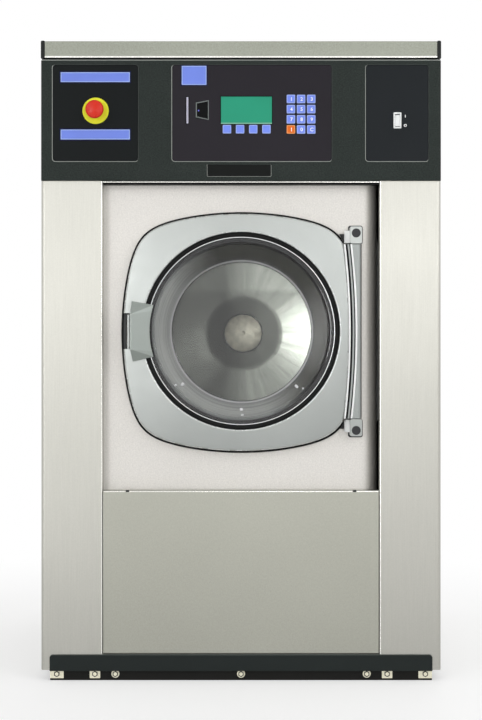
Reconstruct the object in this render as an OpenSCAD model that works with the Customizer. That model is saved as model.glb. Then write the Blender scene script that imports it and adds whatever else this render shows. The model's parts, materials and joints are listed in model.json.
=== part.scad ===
/* [Casing] */
// Width across the side panels
body_w = 880; // [870:5:940]
// Width of the recessed door panel between the columns
panel_w = 610; // [600:2:620]
// Height of the door panel between the lower cover and the console
panel_h = 682; // [674:2:700]
// Height of the door's middle above the door panel's middle
door_up = 11; // [6:1:16]
// Thickness of the stainless sheet
sheet = 1.5; // [1:0.25:2]
// Outside radius of the folded column corners
fold_r = 8; // [4:1:10]
// Set-back of the door panel behind the columns
recess_d = 30; // [27:1:33]
// Width of the folded edges that stiffen the panels
flange_w = 25; // [20:1:28]
// Gap that shows between two neighbouring panels
seam = 1.5; // [1:0.5:2.5]
// Depth of the space between the drum's pulley and the casing's back
rear_gap = 40; // [34:1:50]
// Height of one louvre slot in the rear panel
louvre_h = 6; // [4:1:8]
// Width of the louvre slots
louvre_w = 180; // [140:10:240]
// Distance between neighbouring louvre slots
louvre_pitch = 14; // [12:1:18]
// Height of the lowest louvre slot above the lower cover's top
louvre_drop = 98; // [80:2:120]
// Number of louvre slots
louvres = 10; // [6:1:14]

/* [Base] */
// Height of the dark strip under the plinth plate
foot_h = 22; // [20:1:26]
// Height of the base frame's feet behind the plinth plate
foot_lap = 2; // [1:0.5:3]
// Set-back of the base frame behind the column fronts
foot_inset = 8; // [6:1:10]
// How far the base frame's feet stop short of the side panels
foot_side_inset = 19; // [14:1:22]
// Width of the base frame's foot plates
foot_plate_w = 80; // [76:2:90]
// Width of the base frame's upright rails
rail_w = 50; // [40:2:56]
// Thickness of the base frame's plates
frame_plate = 6; // [5:0.5:7]
// Height of the plinth plate
plinth_h = 36.5; // [34:0.5:42]
// Thickness of the plinth plate
plinth_t = 3; // [2:0.5:4]
// Corner radius of the plinth plate
plinth_r = 7; // [4:1:10]
// Radius of the floor anchor holes
anchor_r = 9; // [7:0.5:10]
// Distance of an anchor hole from the foot plate's inner side edge
anchor_in_x = 15; // [13:1:20]
// Distance of an anchor hole from the foot plate's inner front edge
anchor_in_y = 12; // [11:1:18]
// Width of the cross members that carry the springs
cross_w = 90; // [86:2:110]
// Radius of the bolt washers on the base frame
washer_r = 9; // [7:0.5:9.5]
// Thickness of the bolt washers
washer_t = 1.5; // [1:0.25:2]
// Radius of a base bolt's hexagon
bolt_r = 6.5; // [5:0.5:7.5]
// Height of a base bolt's head
bolt_h = 4; // [3:0.5:5]
// Depth of the bolts' middle below the plinth plate's lower edge
bolt_drop = 7.7; // [7:0.1:9]
// Height of the zinc blocks on the base frame
zinc_h = 19; // [16:1:20]
// Width of the outer zinc blocks
outer_zinc_w = 30; // [24:1:32]
// Width of the inner zinc blocks
inner_zinc_w = 23; // [20:1:28]
// Distance of the inner zinc blocks from the base frame's ends
inner_zinc_in = 99; // [90:1:110]
// Distance of the outer washers from the base frame's ends
washer_in = 144; // [135:1:160]

/* [Lower cover] */
// Height of the lower cover
cover_h = 358; // [340:2:370]
// Depth of the lower cover's folded edges
cover_edge = 15; // [10:1:18]
// Width of the notches in the lower cover's top edge
notch_w = 8; // [6:1:12]
// Depth of those notches
notch_d = 3; // [2:0.5:5]
// Distance of the notches from the lower cover's ends
notch_in = 53.5; // [45:0.5:70]

/* [Lid] */
// Height of the lid's front band
lid_h = 38; // [34:1:46]
// Gap between the lid and the console
lid_gap = 2.5; // [2:0.5:4]
// How far the lid hangs down over the casing's top
lid_lap = 2; // [1:0.5:3]
// How far the lid's band stands before the columns
lid_over = 4; // [2:0.5:5]
// Width of the lid's black end trims
trim_w = 9; // [7:1:12]
// How far the end trims stand proud of the lid
trim_proud = 1; // [0.5:0.25:2]
// Radius of the end trims' outer top edge
trim_r = 3; // [2:0.5:5]

/* [Console] */
// Height of the console
console_h = 269.5; // [262:0.5:276]
// How far the console wraps round the casing's sides
console_d = 90; // [80:2:100]
// Thickness of the console's front
console_t = 6; // [5.5:0.25:7]
// Thickness of the console's other walls
console_wall = 3; // [2:0.5:4]
// Height of the three printed inserts
insert_h = 211; // [205:1:220]
// Thickness of the printed inserts
insert_t = 2; // [1.5:0.25:2.5]
// Depth of the pockets that hold the inserts
pocket_depth = 3.5; // [3:0.25:4]
// Corner radius of the inserts
insert_r = 6; // [3:1:9]
// Height of the inserts' middle above the console's lower edge
insert_z = 148.5; // [144:0.5:152]
// Width of the left insert
left_insert_w = 187; // [170:1:200]
// Distance of the left insert's middle from the console's left end
left_insert_in = 120; // [114:1:128]
// Width of the middle insert
mid_insert_w = 350; // [348:1:362]
// Middle of the middle insert
mid_insert_x = 24; // [22:0.5:26]
// Width of the right insert
right_insert_w = 137; // [120:1:145]
// Distance of the right insert's middle from the console's right end
right_insert_in = 97; // [90:1:104]
// Width of the window behind the middle insert
window_w = 314; // [310:1:318]
// Height of the window behind the middle insert
window_h = 102; // [100:1:110]
// Distance of the control board behind the console's front wall
board_gap = 12; // [11:0.5:16]
// Thickness of the control board
board_t = 1.6; // [1.2:0.2:2]
// Margin of the control board round the window
board_edge = 22; // [16:1:26]

/* [Controls] */
// Radius of the stop button's yellow collar
collar_r = 30; // [26:1:34]
// Thickness of the yellow collar
collar_t = 2; // [1.5:0.25:3]
// Radius of the stop button's red head
stop_head_r = 20; // [18:0.5:22]
// Length of the stop button's head
stop_head_l = 24; // [20:0.5:26]
// Radius of the stop button's threaded barrel
stop_barrel_r = 11; // [10:0.5:13]
// Radius of the stop button's stem
stop_stem_r = 6; // [5:0.5:7]
// Travel of the stop button
stop_travel = 5; // [4:0.5:6]
// Width of the stop button's contact block
stop_block_w = 36; // [30:1:40]
// Height of the stop button's contact block
stop_block_h = 44; // [38:1:50]
// Depth of the stop button's contact block
stop_block_d = 26; // [22:1:30]
// Side of a key's cap
key_w = 18.6; // [16:0.2:19]
// Height of a key's cap over the overlay
key_proud = 1.5; // [1:0.25:2.5]
// Distance between neighbouring keys of the keypad
key_pitch = 22.3; // [22:0.1:23]
// Distance between the keys under the display
soft_pitch = 28.9; // [26:0.1:30]
// Side of the flange that holds a key behind the overlay
key_flange_w = 21; // [20:0.2:21.6]
// Thickness of that flange
key_flange_t = 1.2; // [1:0.1:1.6]
// Side of a key's stem
key_stem_w = 6; // [4:0.5:8]
// Travel of a key
key_travel = 1; // [0.6:0.1:1.4]
// Width of the display's window
display_w = 113; // [104:1:114]
// Height of the display's window
display_h = 61; // [56:1:63]
// Height of the card slot
card_h = 58; // [54.5:0.5:64]
// Width of the card slot's opening in the overlay
card_w = 6.6; // [6.2:0.2:8]
// Width of the service port
port_w = 27.2; // [24:0.2:30]
// Height of the service port's taller side
port_h = 42; // [38:1:46]
// Width of the rocker switch's frame
switch_w = 17.4; // [16:0.2:20]
// Height of the rocker switch's frame
switch_h = 35.4; // [33:0.2:40]
// Radius of the rocker's pin
rocker_pin_r = 1.5; // [1:0.1:2]

/* [Door] */
// Radius of the opening in the door frame
ring_r = 217; // [216:0.5:219]
// Width of the door frame beside its opening
frame_w = 42; // [40:0.5:44]
// Exponent of the door frame's squircle outline
squircle_n = 3.45; // [3:0.05:4]
// Thickness of the door frame at its rim
frame_t = 34; // [33:0.5:36]
// Radius of the sphere that the frame's front follows
dome_r = 2100; // [1900:50:2500]
// Radius of the bowed edge beside the hinge bar
bow_r = 1617; // [1400:10:1900]
// Distance of that bowed edge inside the frame's outline
bow_in = 22; // [20:0.5:24]
// Gap between the door frame and the door panel
door_gap = 2; // [1.5:0.25:2.5]
// Wall thickness of the hollow door frame
frame_wall = 8; // [7:0.5:8.5]
// Width of the black trim round the door frame
trim_out = 6; // [4:0.5:8]
// Depth of that trim
trim_d = 9; // [7:0.5:11]
// Radius of the hinge knuckles
knuckle_r = 15; // [14:0.5:16]
// Radius of the hinge pins
hinge_pin_r = 6; // [5:0.5:7]
// Length of the hinge pins in the door
pin_l = 40; // [30:1:50]
// Distance of the hinge axis inside the frame's outline
hinge_in = 7; // [6:0.5:8]
// Distance of the hinge axis before the door panel
hinge_out = 22; // [20:0.5:24]
// Length of the hinge bar
hinge_bar_h = 384; // [376:2:392]
// Height of a hinge block
hinge_block_h = 37.7; // [32:0.5:44]
// Gap between the hinge bar and its blocks
hinge_play = 0.8; // [0.6:0.1:1]
// Thickness of the clamp ring behind the glass
clamp_t = 4; // [3:0.25:5]
// Step of the clamp ring's rebate outside the frame's inner wall
clamp_step = 1; // [0.5:0.25:2]
// Thickness of the glass bowl's flange
flange_t = 8; // [6:0.5:9]
// Distance of the flange before the clamp ring
flange_gap = 22; // [20:0.5:24]
// Depth of the glass bowl
bowl_d = 173; // [160:1:180]
// How much narrower the bowl's bottom is than its neck
bowl_taper = 30; // [28:1:34]
// Wall thickness of the bowl
bowl_wall = 6; // [5:0.5:8]
// Radius of the bowl's rounded bottom edge
bowl_edge_r = 12; // [10:0.5:14]
// Depth of the rubber between the frame's opening and the glass's neck
rubber_w = 13; // [12:0.5:14]
// Step of the door panel's opening inside the frame's opening
opening_step = 3; // [2.5:0.25:3.5]

/* [Handle] */
// How far the handle's lip stands before the door panel
handle_stand = 75; // [73:0.5:80]
// Height of the handle's lip
lip_h = 77.5; // [74:0.5:84]
// Height of the handle's foot on the door frame
handle_h = 132.5; // [126:0.5:138]
// Left edge of the handle, inside the door frame's outline
handle_in = 18; // [17:0.5:20]
// Width of the handle
handle_w = 55; // [52:0.5:58]
// Radius of the handle's hollowed inner edge
handle_arc_r = 200; // [198:0.5:202]
// Wall thickness of the handle
handle_wall = 4; // [3:0.25:4.5]
// Radius of the handle's pivot pin
handle_pin_r = 2.5; // [2:0.25:3]
// Distance of the handle's pivot from its lip, across the door
pivot_in = 33; // [31:0.5:36]
// Distance of the lugs that carry the pivot from the door's middle
lug_z = 36; // [34:0.5:38]
// Thickness of those lugs
lug_t = 6; // [5:0.5:7]
// Thickness of the arm that carries the handle's hook
arm_w = 6; // [5:0.5:7]
// Height of the hook
arm_h = 52; // [46:1:56]
// Width of the hook's barb
barb_w = 6; // [5:0.5:7]
// Thickness of the hook's barb
barb_t = 7; // [6:0.5:8]
// How far the hook reaches behind the door panel
arm_reach = 25; // [23:0.5:27]

/* [Lock] */
// Width of the lock's bolt
lock_bolt_w = 6; // [5:0.5:6.5]
// Depth of the lock's bolt
lock_bolt_d = 12; // [10:0.5:12.5]
// Travel of the lock's bolt
bolt_travel = 27; // [25:1:30]
// How far the thrown bolt holds the hook
bolt_hold = 17; // [14:1:20]
// Width of the lock's case
lock_w = 43; // [40:1:48]
// Height of the lock's case
lock_h = 85; // [75:1:95]
// Depth of the lock's case
lock_d = 34.5; // [32:0.5:38]

/* [Tub and drum] */
// Outside radius of the tub
tub_r = 370; // [366:1:374]
// Length of the tub
tub_l = 560; // [550:2:566]
// Thickness of the tub's sheet
tub_t = 4; // [3:0.5:5]
// Distance from the door panel to the tub's front
tub_gap = 88; // [84:1:92]
// Step of the tub's mouth inside the door frame's opening
mouth_step = 12; // [10:0.5:13]
// Length of the tub's mouth
neck_l = 14; // [12:1:16]
// Radial gap between the drum and the tub
drum_clear = 40; // [32:1:46]
// Thickness of the drum's sheet
drum_t = 3; // [2:0.5:4]
// Running gap between the drum's ends and the tub's
drum_gap = 30; // [26:1:32]
// Step of the drum's mouth inside the tub's mouth
drum_mouth_step = 15; // [12:0.5:18]
// Height of the lifters in the drum
lifter_h = 65; // [50:1:75]
// Radius of a lifter's nose
lifter_nose_r = 8; // [6:0.5:11]
// Distance of the lifters from the drum's ends
lifter_in = 20; // [14:1:30]
// Number of lifters
lifters = 3; // [2:1:4]
// Radius of the drum's shaft
shaft_r = 40; // [34:1:46]
// Thickness of the spider behind the drum
spider_t = 22; // [18:1:26]
// Width of the spider's arms
spider_w = 50; // [40:1:60]
// Length of the bearing housing
housing_l = 180; // [170:2:186]
// Thickness of the bearing housing's flange
housing_flange_t = 16; // [12:1:20]
// Width of the bearing housing's flange outside its body
housing_flange_w = 60; // [50:1:70]
// Wall of the bearing housing round its bearings
housing_wall = 30; // [24:1:36]
// Radial height of a bearing
bearing_h = 20; // [17:0.5:23]
// Width of a bearing
bearing_w = 30; // [26:1:34]
// Shoulder before the front bearing
bearing_in = 10; // [8:1:14]

/* [Drive] */
// Running radius of the drum's pulley
drum_pulley_r = 225; // [210:1:240]
// Running radius of the motor's pulley
motor_pulley_r = 45; // [40:1:52]
// Width of the pulleys
pulley_w = 28; // [24:1:32]
// Gap between the bearing housing and the drum's pulley
pulley_gap = 4; // [3:0.5:6]
// Height of the drum pulley's rim
rim_h = 12; // [9:0.5:14]
// Height of the drum pulley's hub
hub_h = 22; // [18:0.5:26]
// Thickness of the drum pulley's web
web_t = 8; // [6:0.5:10]
// Radius of the holes in the drum pulley's web
web_hole_r = 40; // [30:1:44]
// Thickness of the drive belt
belt_t = 6; // [4:0.5:8]
// How much narrower the belt is than the pulleys, on each side
belt_in = 2; // [1:0.5:3]
// Radius of the motor
motor_r = 95; // [85:1:100]
// Length of the motor
motor_l = 235; // [200:5:240]
// Radius of the motor's shaft
motor_shaft_r = 19; // [15:1:22]
// Height of the cradle's underside above the motor's axis
motor_drop = 130; // [122:1:140]
// Gap between the motor and its pulley
motor_gap = 17; // [12:1:22]

/* [Suspension] */
// Distance of the springs from the casing's middle
spring_x = 330; // [322:1:334]
// Mean radius of the springs
spring_r = 34; // [28:1:38]
// Radius of the spring wire
wire_r = 5.5; // [4:0.5:6.5]
// Turns of a spring
spring_turns = 5; // [4:1:7]
// Distance of the dampers from the casing's middle
damper_x = 235; // [230:1:240]
// Outside radius of a damper
damper_r = 24; // [22:0.5:28]
// Bore of a damper
damper_bore_r = 18; // [16:0.5:20]
// Radius of a damper's rod
damper_rod_r = 8; // [6:0.5:9]
// Thickness of a damper's ends
damper_end_t = 6; // [4:0.5:8]
// Distance of the dampers' tops below the cradle
damper_drop = 90; // [80:1:100]
// Height of a damper's piston above the base frame
piston_up = 70; // [60:1:80]
// Height of a damper's piston
piston_h = 20; // [16:1:26]
// Height of the cradle's beams
beam_h = 40; // [34:1:46]
// Width of the cradle's beams
beam_w = 60; // [54:1:66]
// Thickness of the cradle's plates
beam_plate = 8; // [6:0.5:10]
// Length of the cradle's beams beyond the springs
beam_end = 45; // [42:1:50]
// Distance of the cradle's underside below the tub
cradle_drop = 60; // [52:1:66]
// Distance of the front beam behind the tub's front
beam_front = 170; // [160:2:180]
// Distance of the rear beam before the tub's back
beam_back = 70; // [60:2:80]
// How far the tub may bounce up or down
bounce = 12; // [8:1:14]

/* [Services] */
// How far the water inlets and the drain stand behind the casing
rear_reach = 35; // [25:1:45]
// Outside radius of a water inlet's thread
inlet_r = 13.2; // [12:0.1:14]
// Bore radius of a water inlet
inlet_bore_r = 8; // [6:0.5:9]
// Distance between the two water inlets
inlet_pitch = 60; // [56:1:72]
// Distance of the outer inlet from the casing's side
inlet_in = 140; // [130:1:150]
// Distance of the inlets below the casing's top
inlet_drop = 70; // [60:1:80]
// Side of the inlet valve's body
valve_h = 60; // [50:1:70]
// Margin of the valve's body beside the inlets
valve_edge = 20; // [16:1:26]
// Outside radius of the fill pipe
fill_r = 12.5; // [10:0.5:13]
// Wall of the tub's filler spigot
fill_wall = 4.5; // [3.5:0.5:6]
// Height of the filler spigot's top above the door's middle
fill_up = 290; // [280:2:300]
// Distance of the fill pipe before the tub's back
fill_in = 118; // [110:2:130]
// Outside radius of the drain pipe
drain_r = 38; // [34:0.5:39]
// Wall thickness of the drain pipe
drain_wall = 3; // [2:0.5:4]
// Distance of the drain pipe from the casing's middle
drain_x = 150; // [148:1:156]
// Gap between the drain pipe and the base frame
drain_lift = 17; // [14:1:20]
// Distance of the drain's valve before the tub's back
drain_in = 238; // [230:2:250]
// Radius of the tub's drain spigot
spigot_r = 30; // [26:0.5:33]
// Wall of the cuff round that spigot
cuff_wall = 5; // [4:0.5:6]
// Width of the drain's valve
drain_valve_w = 86; // [80:1:92]
// Width of the electrical box
box_w = 280; // [260:2:290]
// Height of the electrical box
box_h = 170; // [150:2:180]
// Depth of the electrical box
box_d = 127; // [110:1:140]
// Distance of the electrical box from the casing's side
box_in = 60; // [50:1:70]
// Distance of the electrical box below the casing's top
box_drop = 30; // [24:1:40]
// Thickness of the electrical box's sheet
box_sheet = 2; // [1.5:0.25:3]
// Bore radius of the mains cable's gland
gland_bore_r = 10; // [8:0.5:12]
// Wall of the mains cable's gland
gland_wall = 4; // [3:0.25:5]
// How far the gland stands behind the casing
gland_reach = 20; // [15:1:25]
// Distance of the gland from the box's outer side
gland_in = 50; // [40:1:60]
// Height of the gland above the box's floor
gland_up = 45; // [36:1:54]

/* [Fits] */
// Radial clearance of a shaft that turns in a bore
fit = 0.05; // [0.03:0.01:0.09]
// Clearance between pieces that pass each other
play = 0.3; // [0.2:0.05:0.5]

/* [Hidden] */
$fn = 96;
eps = 0.01;
half_w = body_w / 2;
column_x = panel_w / 2;

// Depth: the drum unit is stacked behind the door panel, and the casing closes round it
casing_d = recess_d + tub_gap + tub_l + housing_l + pulley_gap + pulley_w + rear_gap;
y_front = (handle_stand - recess_d - casing_d - rear_reach) / 2;
y_back = y_front + casing_d;
y_end = y_back + rear_reach;
y_panel = y_front + recess_d;
y_panel_back = y_panel + sheet;
y_door = y_panel - door_gap;
y_rear_in = y_back - 2 * sheet;

// Height: base, lower cover, door panel, console and lid are stacked from the floor
frame_h = foot_h + plinth_h + seam;
foot_top = foot_h + foot_lap;
cover_top = frame_h + cover_h;
console_z = cover_top + panel_h;
console_top = console_z + console_h;
lid_z = console_top + lid_gap;
body_h = lid_z + lid_h;
casing_top = lid_z - lid_lap;
insert_mid_z = console_z + insert_z;
door_z = cover_top + panel_h / 2 + door_up;

// Base frame and its bolts
foot_x = half_w - foot_side_inset;
anchor_x = foot_x - foot_plate_w + anchor_in_x;
anchor_y = casing_d / 2 - foot_inset - foot_plate_w + anchor_in_y;
bolt_z = foot_h - bolt_drop;
zinc_x = [foot_x - outer_zinc_w / 2, foot_x - inner_zinc_in];
zinc_w = [outer_zinc_w, inner_zinc_w];
washer_x = [-foot_x + washer_in, 0, foot_x - washer_in];

// Console: front face, back of the front wall and the inserts' planes
y_console = y_front - console_t;
y_console_end = y_console + console_d;
y_pocket = y_console + pocket_depth;
y_overlay = y_pocket - insert_t;
y_board = y_front + board_gap;
left_insert_x = -half_w + left_insert_in;
right_insert_x = half_w - right_insert_in;
window_x = [mid_insert_x - 1 - window_w / 2, mid_insert_x - 1 + window_w / 2];
window_z = [insert_mid_z - 1.5 - window_h / 2, insert_mid_z - 1.5 + window_h / 2];

// Controls, each placed from its own insert's middle
stop_x = left_insert_x + 0.6;
stop_z = insert_mid_z + 5;
y_collar = y_overlay - collar_t;
y_stop_head = y_collar - stop_travel - 2.5;
y_stop_block = y_front + 24;
stem_end = y_stop_block + 6;
head_bore = 18.3;
display_x = mid_insert_x - 12;
display_z = insert_mid_z + 6.4;
slot_x = mid_insert_x - 141.7;
slot_z = insert_mid_z + 6.2;
port_x = mid_insert_x - 109;
port_z = insert_mid_z + 6.6;
port_slope = 5.5;
keypad_x = mid_insert_x + 108;
keypad_z = insert_mid_z - 2.5;
soft_x = mid_insert_x - 11.5;
soft_z = insert_mid_z - 35.4;
switch_x = right_insert_x + 0.7;
switch_z = insert_mid_z - 16.2;
switch_cut = [switch_w - 4.4, switch_h - 5.4];
rocker_tilt = 7;
y_switch = y_overlay - 3;
y_rocker = y_overlay + 2.5;

// Door, from its opening outwards and from the panel that it closes on
door_half = ring_r + frame_w;
opening_r = ring_r - opening_step;
y_rim = y_door - frame_t;
y_crown = y_rim + dome_drop(door_half);
hinge_x = door_half - hinge_in;
hinge_y = y_panel - hinge_out;
web_cut_x = door_half - 31;
bow_x = door_half - bow_in;
bar_mid = door_z - 1;
bar_z = [bar_mid - hinge_bar_h / 2, bar_mid + hinge_bar_h / 2];
clamp_r = ring_r + frame_wall + clamp_step;
y_clamp = y_door - clamp_t;
y_flange = y_clamp - flange_gap;
y_bowl_end = y_flange + bowl_d;
bowl_neck_r = ring_r - 20;
flange_r = ring_r - 11.3;
bowl_bottom_r = bowl_neck_r - bowl_taper;

// Handle, from the door's middle
handle_x = door_half - handle_in;
y_lip = y_panel - handle_stand;
lip_z = [door_z - 41, door_z - 41 + lip_h];
handle_z = [door_z - 67.5, door_z - 67.5 + handle_h];
y_hood = y_rim - 6.5;
pivot_x = pivot_in - handle_x;
pivot_y = y_hood - 2.7;
lug_l = 28;
arm_x = 7 - handle_x;
arm_z = [door_z - 32, door_z - 32 + arm_h];
arm_end = y_panel + arm_reach;
arm_play = 3;
notch_z = [lip_z[0] + 1, lip_z[1] + 2.5];

// Door lock behind the panel
bolt_mid = [arm_x + 9, y_panel + 10.5];
lock_top = arm_z[0] + bolt_hold - 3 - bolt_travel;
lock_x = [bolt_mid[0] - 37, bolt_mid[0] - 37 + lock_w];
lock_y = [y_panel_back, y_panel_back + lock_d];
lock_z = [lock_top - lock_h, lock_top];
bolt_foot = lock_z[0] + 10;

// Tub, drum and drive, from the door panel backwards
mouth_r = ring_r - mouth_step;
drum_r = tub_r - drum_clear;
drum_mouth_r = mouth_r - drum_mouth_step;
y_tub = y_panel + tub_gap;
y_tub_end = y_tub + tub_l;
neck_wall = 4;
y_drum = y_tub + tub_t + drum_gap - 2;
y_drum_end = y_tub_end - tub_t - drum_gap;
y_housing_end = y_tub_end + housing_l;
y_pulley = y_housing_end + pulley_gap;
bearing_r = shaft_r + bearing_h;
motor_plane = y_pulley - motor_gap;

// Suspension: springs and dampers stand on the base frame's cross members
cradle_z = door_z - tub_r - cradle_drop;
motor_z = cradle_z - motor_drop;
centre_d = door_z - motor_z;
beams_y = [y_tub + beam_front, y_tub_end - beam_back];
piston_z = frame_h + piston_up;
damper_top = cradle_z - damper_drop;

// Services at the back
inlet_x = -half_w + inlet_in;
fill_x = inlet_x + inlet_pitch / 2;
inlet_z = casing_top - inlet_drop;
fill_y = y_tub_end - fill_in;
fill_z = door_z + fill_up;
drain_z = frame_h + drain_r + drain_lift;
drain_y = y_tub_end - drain_in;
spigot_end = cradle_z + 25;
cuff_top = spigot_end + bounce + 18;
box_x = [half_w - box_in - box_w, half_w - box_in];
box_z = [casing_top - box_drop - box_h, casing_top - box_drop];
gland_x = box_x[1] - gland_in;
gland_z = box_z[0] + gland_up;
gland_r = gland_bore_r + gland_wall;

KEYS = [
    ["key_1", 0, 3], ["key_2", 1, 3], ["key_3", 2, 3],
    ["key_4", 0, 2], ["key_5", 1, 2], ["key_6", 2, 2],
    ["key_7", 0, 1], ["key_8", 1, 1], ["key_9", 2, 1],
    ["key_start", 0, 0], ["key_0", 1, 0], ["key_clear", 2, 0]
];
SOFT_KEYS = ["soft_key_1", "soft_key_2", "soft_key_3", "soft_key_4"];

// Drop of the domed front below its middle, at a distance from the door's axis
function dome_drop(r) = -(dome_r - sqrt(dome_r * dome_r - r * r));

// Points of an arc, angles in degrees
function arc(x, y, r, a0, a1, n = 8) =
    [for (i = [0:n]) let (a = a0 + (a1 - a0) * i / n) [x + r * cos(a), y + r * sin(a)]];

// Outline of a rectangle with round corners, about its middle
function rounded(w, h, r, n = 6) = concat(
    arc(w / 2 - r, h / 2 - r, r, 0, 90, n),
    arc(r - w / 2, h / 2 - r, r, 90, 180, n),
    arc(r - w / 2, r - h / 2, r, 180, 270, n),
    arc(w / 2 - r, r - h / 2, r, 270, 360, n));

// Outline of the door frame, a superellipse
function power(v) = sign(v) * pow(abs(v), 2 / squircle_n);
function squircle(half, n = 96) =
    [for (i = [0:n - 1]) let (a = 360 * i / n) [half * power(cos(a)), half * power(sin(a))]];

// Outline of a belt on two pulleys, the large one at the origin and the small one below it
function belt(r_big, r_small, lean) = concat(
    arc(0, 0, r_big, -lean, 180 + lean, 48),
    arc(0, -centre_d, r_small, 180 + lean, 360 - lean, 24));

// A flat piece that faces forwards, from one depth to another
module slab(y0, y1) {
    translate([0, y1, 0]) rotate([90, 0, 0]) linear_extrude(y1 - y0) children();
}

module box(x, y, z) {
    translate([x[0], y[0], z[0]]) cube([x[1] - x[0], y[1] - y[0], z[1] - z[0]]);
}

module rod_y(x, z, r, y0, y1) {
    translate([x, y0, z]) rotate([-90, 0, 0]) cylinder(r = r, h = y1 - y0);
}

module ring_y(x, z, r_out, r_in, y0, y1) {
    difference() {
        rod_y(x, z, r_out, y0, y1);
        rod_y(x, z, r_in, y0 - 1, y1 + 1);
    }
}

module rod_z(x, y, r, z0, z1) {
    translate([x, y, z0]) cylinder(r = r, h = z1 - z0);
}

// A turned piece about a front-to-back axis: its profile holds radius and depth
module turned(x, z) {
    translate([x, 0, z]) rotate([-90, 0, 0]) rotate_extrude() children();
}

module both_sides() {
    children();
    mirror([1, 0, 0]) children();
}

// Base

// The front rail runs between the columns, and the others run behind them
module base_frame() {
    t = frame_plate;
    foot_y = [y_front + foot_inset, y_back - foot_inset];
    rail_x = half_w - sheet;
    rail_y = [y_panel_back, y_rear_in];
    front_x = column_x - seam;
    color("#1c1b1a") difference() {
        union() {
            box([-foot_x, foot_x], foot_y, [0, foot_top]);
            box([-rail_x, rail_x], rail_y, [foot_top, frame_h]);
            box([-front_x, front_x], [y_front + sheet, rail_y[0] + t], [foot_top, frame_h]);
        }
        box([foot_plate_w - foot_x, foot_x - foot_plate_w],
            [foot_y[0] + foot_plate_w, foot_y[1] - foot_plate_w], [-1, foot_top]);
        box([t - foot_x, foot_x - t], [foot_y[0] + t, foot_y[1] - t], [t, frame_h - t]);
        box([t - rail_x, rail_x - t], [rail_y[0] + t, rail_y[1] - t], [foot_top + t, frame_h - t]);
        box([rail_w - rail_x, rail_x - rail_w],
            [rail_y[0] + rail_w, rail_y[1] - rail_w], [foot_top - eps, frame_h + 1]);
        anchors() cylinder(r = anchor_r, h = 3 * foot_top, center = true);
    }
    color("#1c1b1a") for (y = beams_y) difference() {
        box([eps - foot_x + t, foot_x - t - eps], [y - cross_w / 2, y + cross_w / 2],
            [t - eps, frame_h]);
        box([-foot_x, foot_x], [y - cross_w / 2 + t, y + cross_w / 2 - t], [0, frame_h - t]);
    }
}

module anchors() {
    for (sx = [-1, 1], sy = [-1, 1])
        translate([sx * anchor_x, (y_front + y_back) / 2 + sy * anchor_y, 0]) children();
}

module plinth_plate() {
    top = arc(foot_x - plinth_r, plinth_h - plinth_r, plinth_r, 0, 90);
    color("#2a2f2f") slab(y_front - plinth_t, y_front) translate([0, foot_h])
        polygon(concat([[foot_x, 0]], top, [for (i = [8:-1:0]) [-top[i][0], top[i][1]]],
            [[-foot_x, 0]]));
}

module base_bolts() {
    y = y_front + foot_inset;
    z = [bolt_z - zinc_h / 2 - 0.3, bolt_z + zinc_h / 2 - 2];
    color("#b8b49a") {
        for (x = washer_x) rod_y(x, bolt_z, washer_r, y - washer_t, y);
        both_sides() for (i = [0, 1])
            box([zinc_x[i] - zinc_w[i] / 2, zinc_x[i] + zinc_w[i] / 2], [y - washer_t, y], z);
        for (x = concat(washer_x, zinc_x, -zinc_x))
            translate([x, y - washer_t, bolt_z]) rotate([90, 0, 0])
                cylinder(r = bolt_r, h = bolt_h, $fn = 6);
    }
}

// Casing

module side_panel() {
    r_in = fold_r - sheet;
    cx = half_w - fold_r;
    cy = y_front + fold_r;
    back = [[half_w, y_back], [half_w - flange_w, y_back], [half_w - flange_w, y_back - sheet],
            [half_w - sheet, y_back - sheet]];
    color("#e0e1d6") {
        translate([0, 0, foot_top]) linear_extrude(console_z - foot_top) polygon(concat(
            [[column_x, y_panel], [column_x, y_front]], arc(cx, cy, fold_r, 270, 360), back,
            arc(cx, cy, r_in, 360, 270),
            [[column_x + sheet, y_front + sheet], [column_x + sheet, y_panel]]));
        translate([0, 0, console_z]) linear_extrude(casing_top - console_z) polygon(concat(
            [[half_w - flange_w, y_console_end], [half_w, y_console_end]], back,
            [[half_w - sheet, y_console_end + sheet], [half_w - flange_w, y_console_end + sheet]]));
        box([half_w - flange_w, half_w - sheet], [y_console_end, y_rear_in],
            [casing_top - sheet, casing_top]);
    }
}

module left_side_panel() {
    mirror([1, 0, 0]) side_panel();
}

module right_side_panel() {
    side_panel();
}

module rear_panel() {
    w = half_w - sheet - 0.5;
    y = y_rear_in;
    cut = [y - 1, y_back + 1];
    louvre_z = cover_top - louvre_drop;
    color("#b9bab4") difference() {
        box([-w, w], [y, y + sheet], [foot_top, casing_top]);
        for (i = [0, 1]) rod_y(inlet_x + i * inlet_pitch, inlet_z, inlet_r + 1, cut[0], cut[1]);
        rod_y(-drain_x, drain_z, drain_r + 1, cut[0], cut[1]);
        rod_y(gland_x, gland_z, gland_r + 1, cut[0], cut[1]);
        for (i = [0:louvres - 1])
            box([-louvre_w / 2, louvre_w / 2], cut,
                [louvre_z + louvre_pitch * i, louvre_z + louvre_pitch * i + louvre_h]);
    }
}

module lid() {
    x = half_w - trim_w;
    y0 = y_front - lid_over;
    top = body_h - trim_proud;
    color("#aaac9b") {
        box([-x, x], [y0, y_back], [top - sheet, top]);
        box([-x, x], [y0, y0 + sheet], [lid_z, top - sheet]);
        box([-x, x], [y_back - sheet, y_back], [casing_top, top - sheet]);
        both_sides() box([x - sheet, x], [y_console_end, y_back - sheet], [casing_top, top - sheet]);
    }
}

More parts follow.
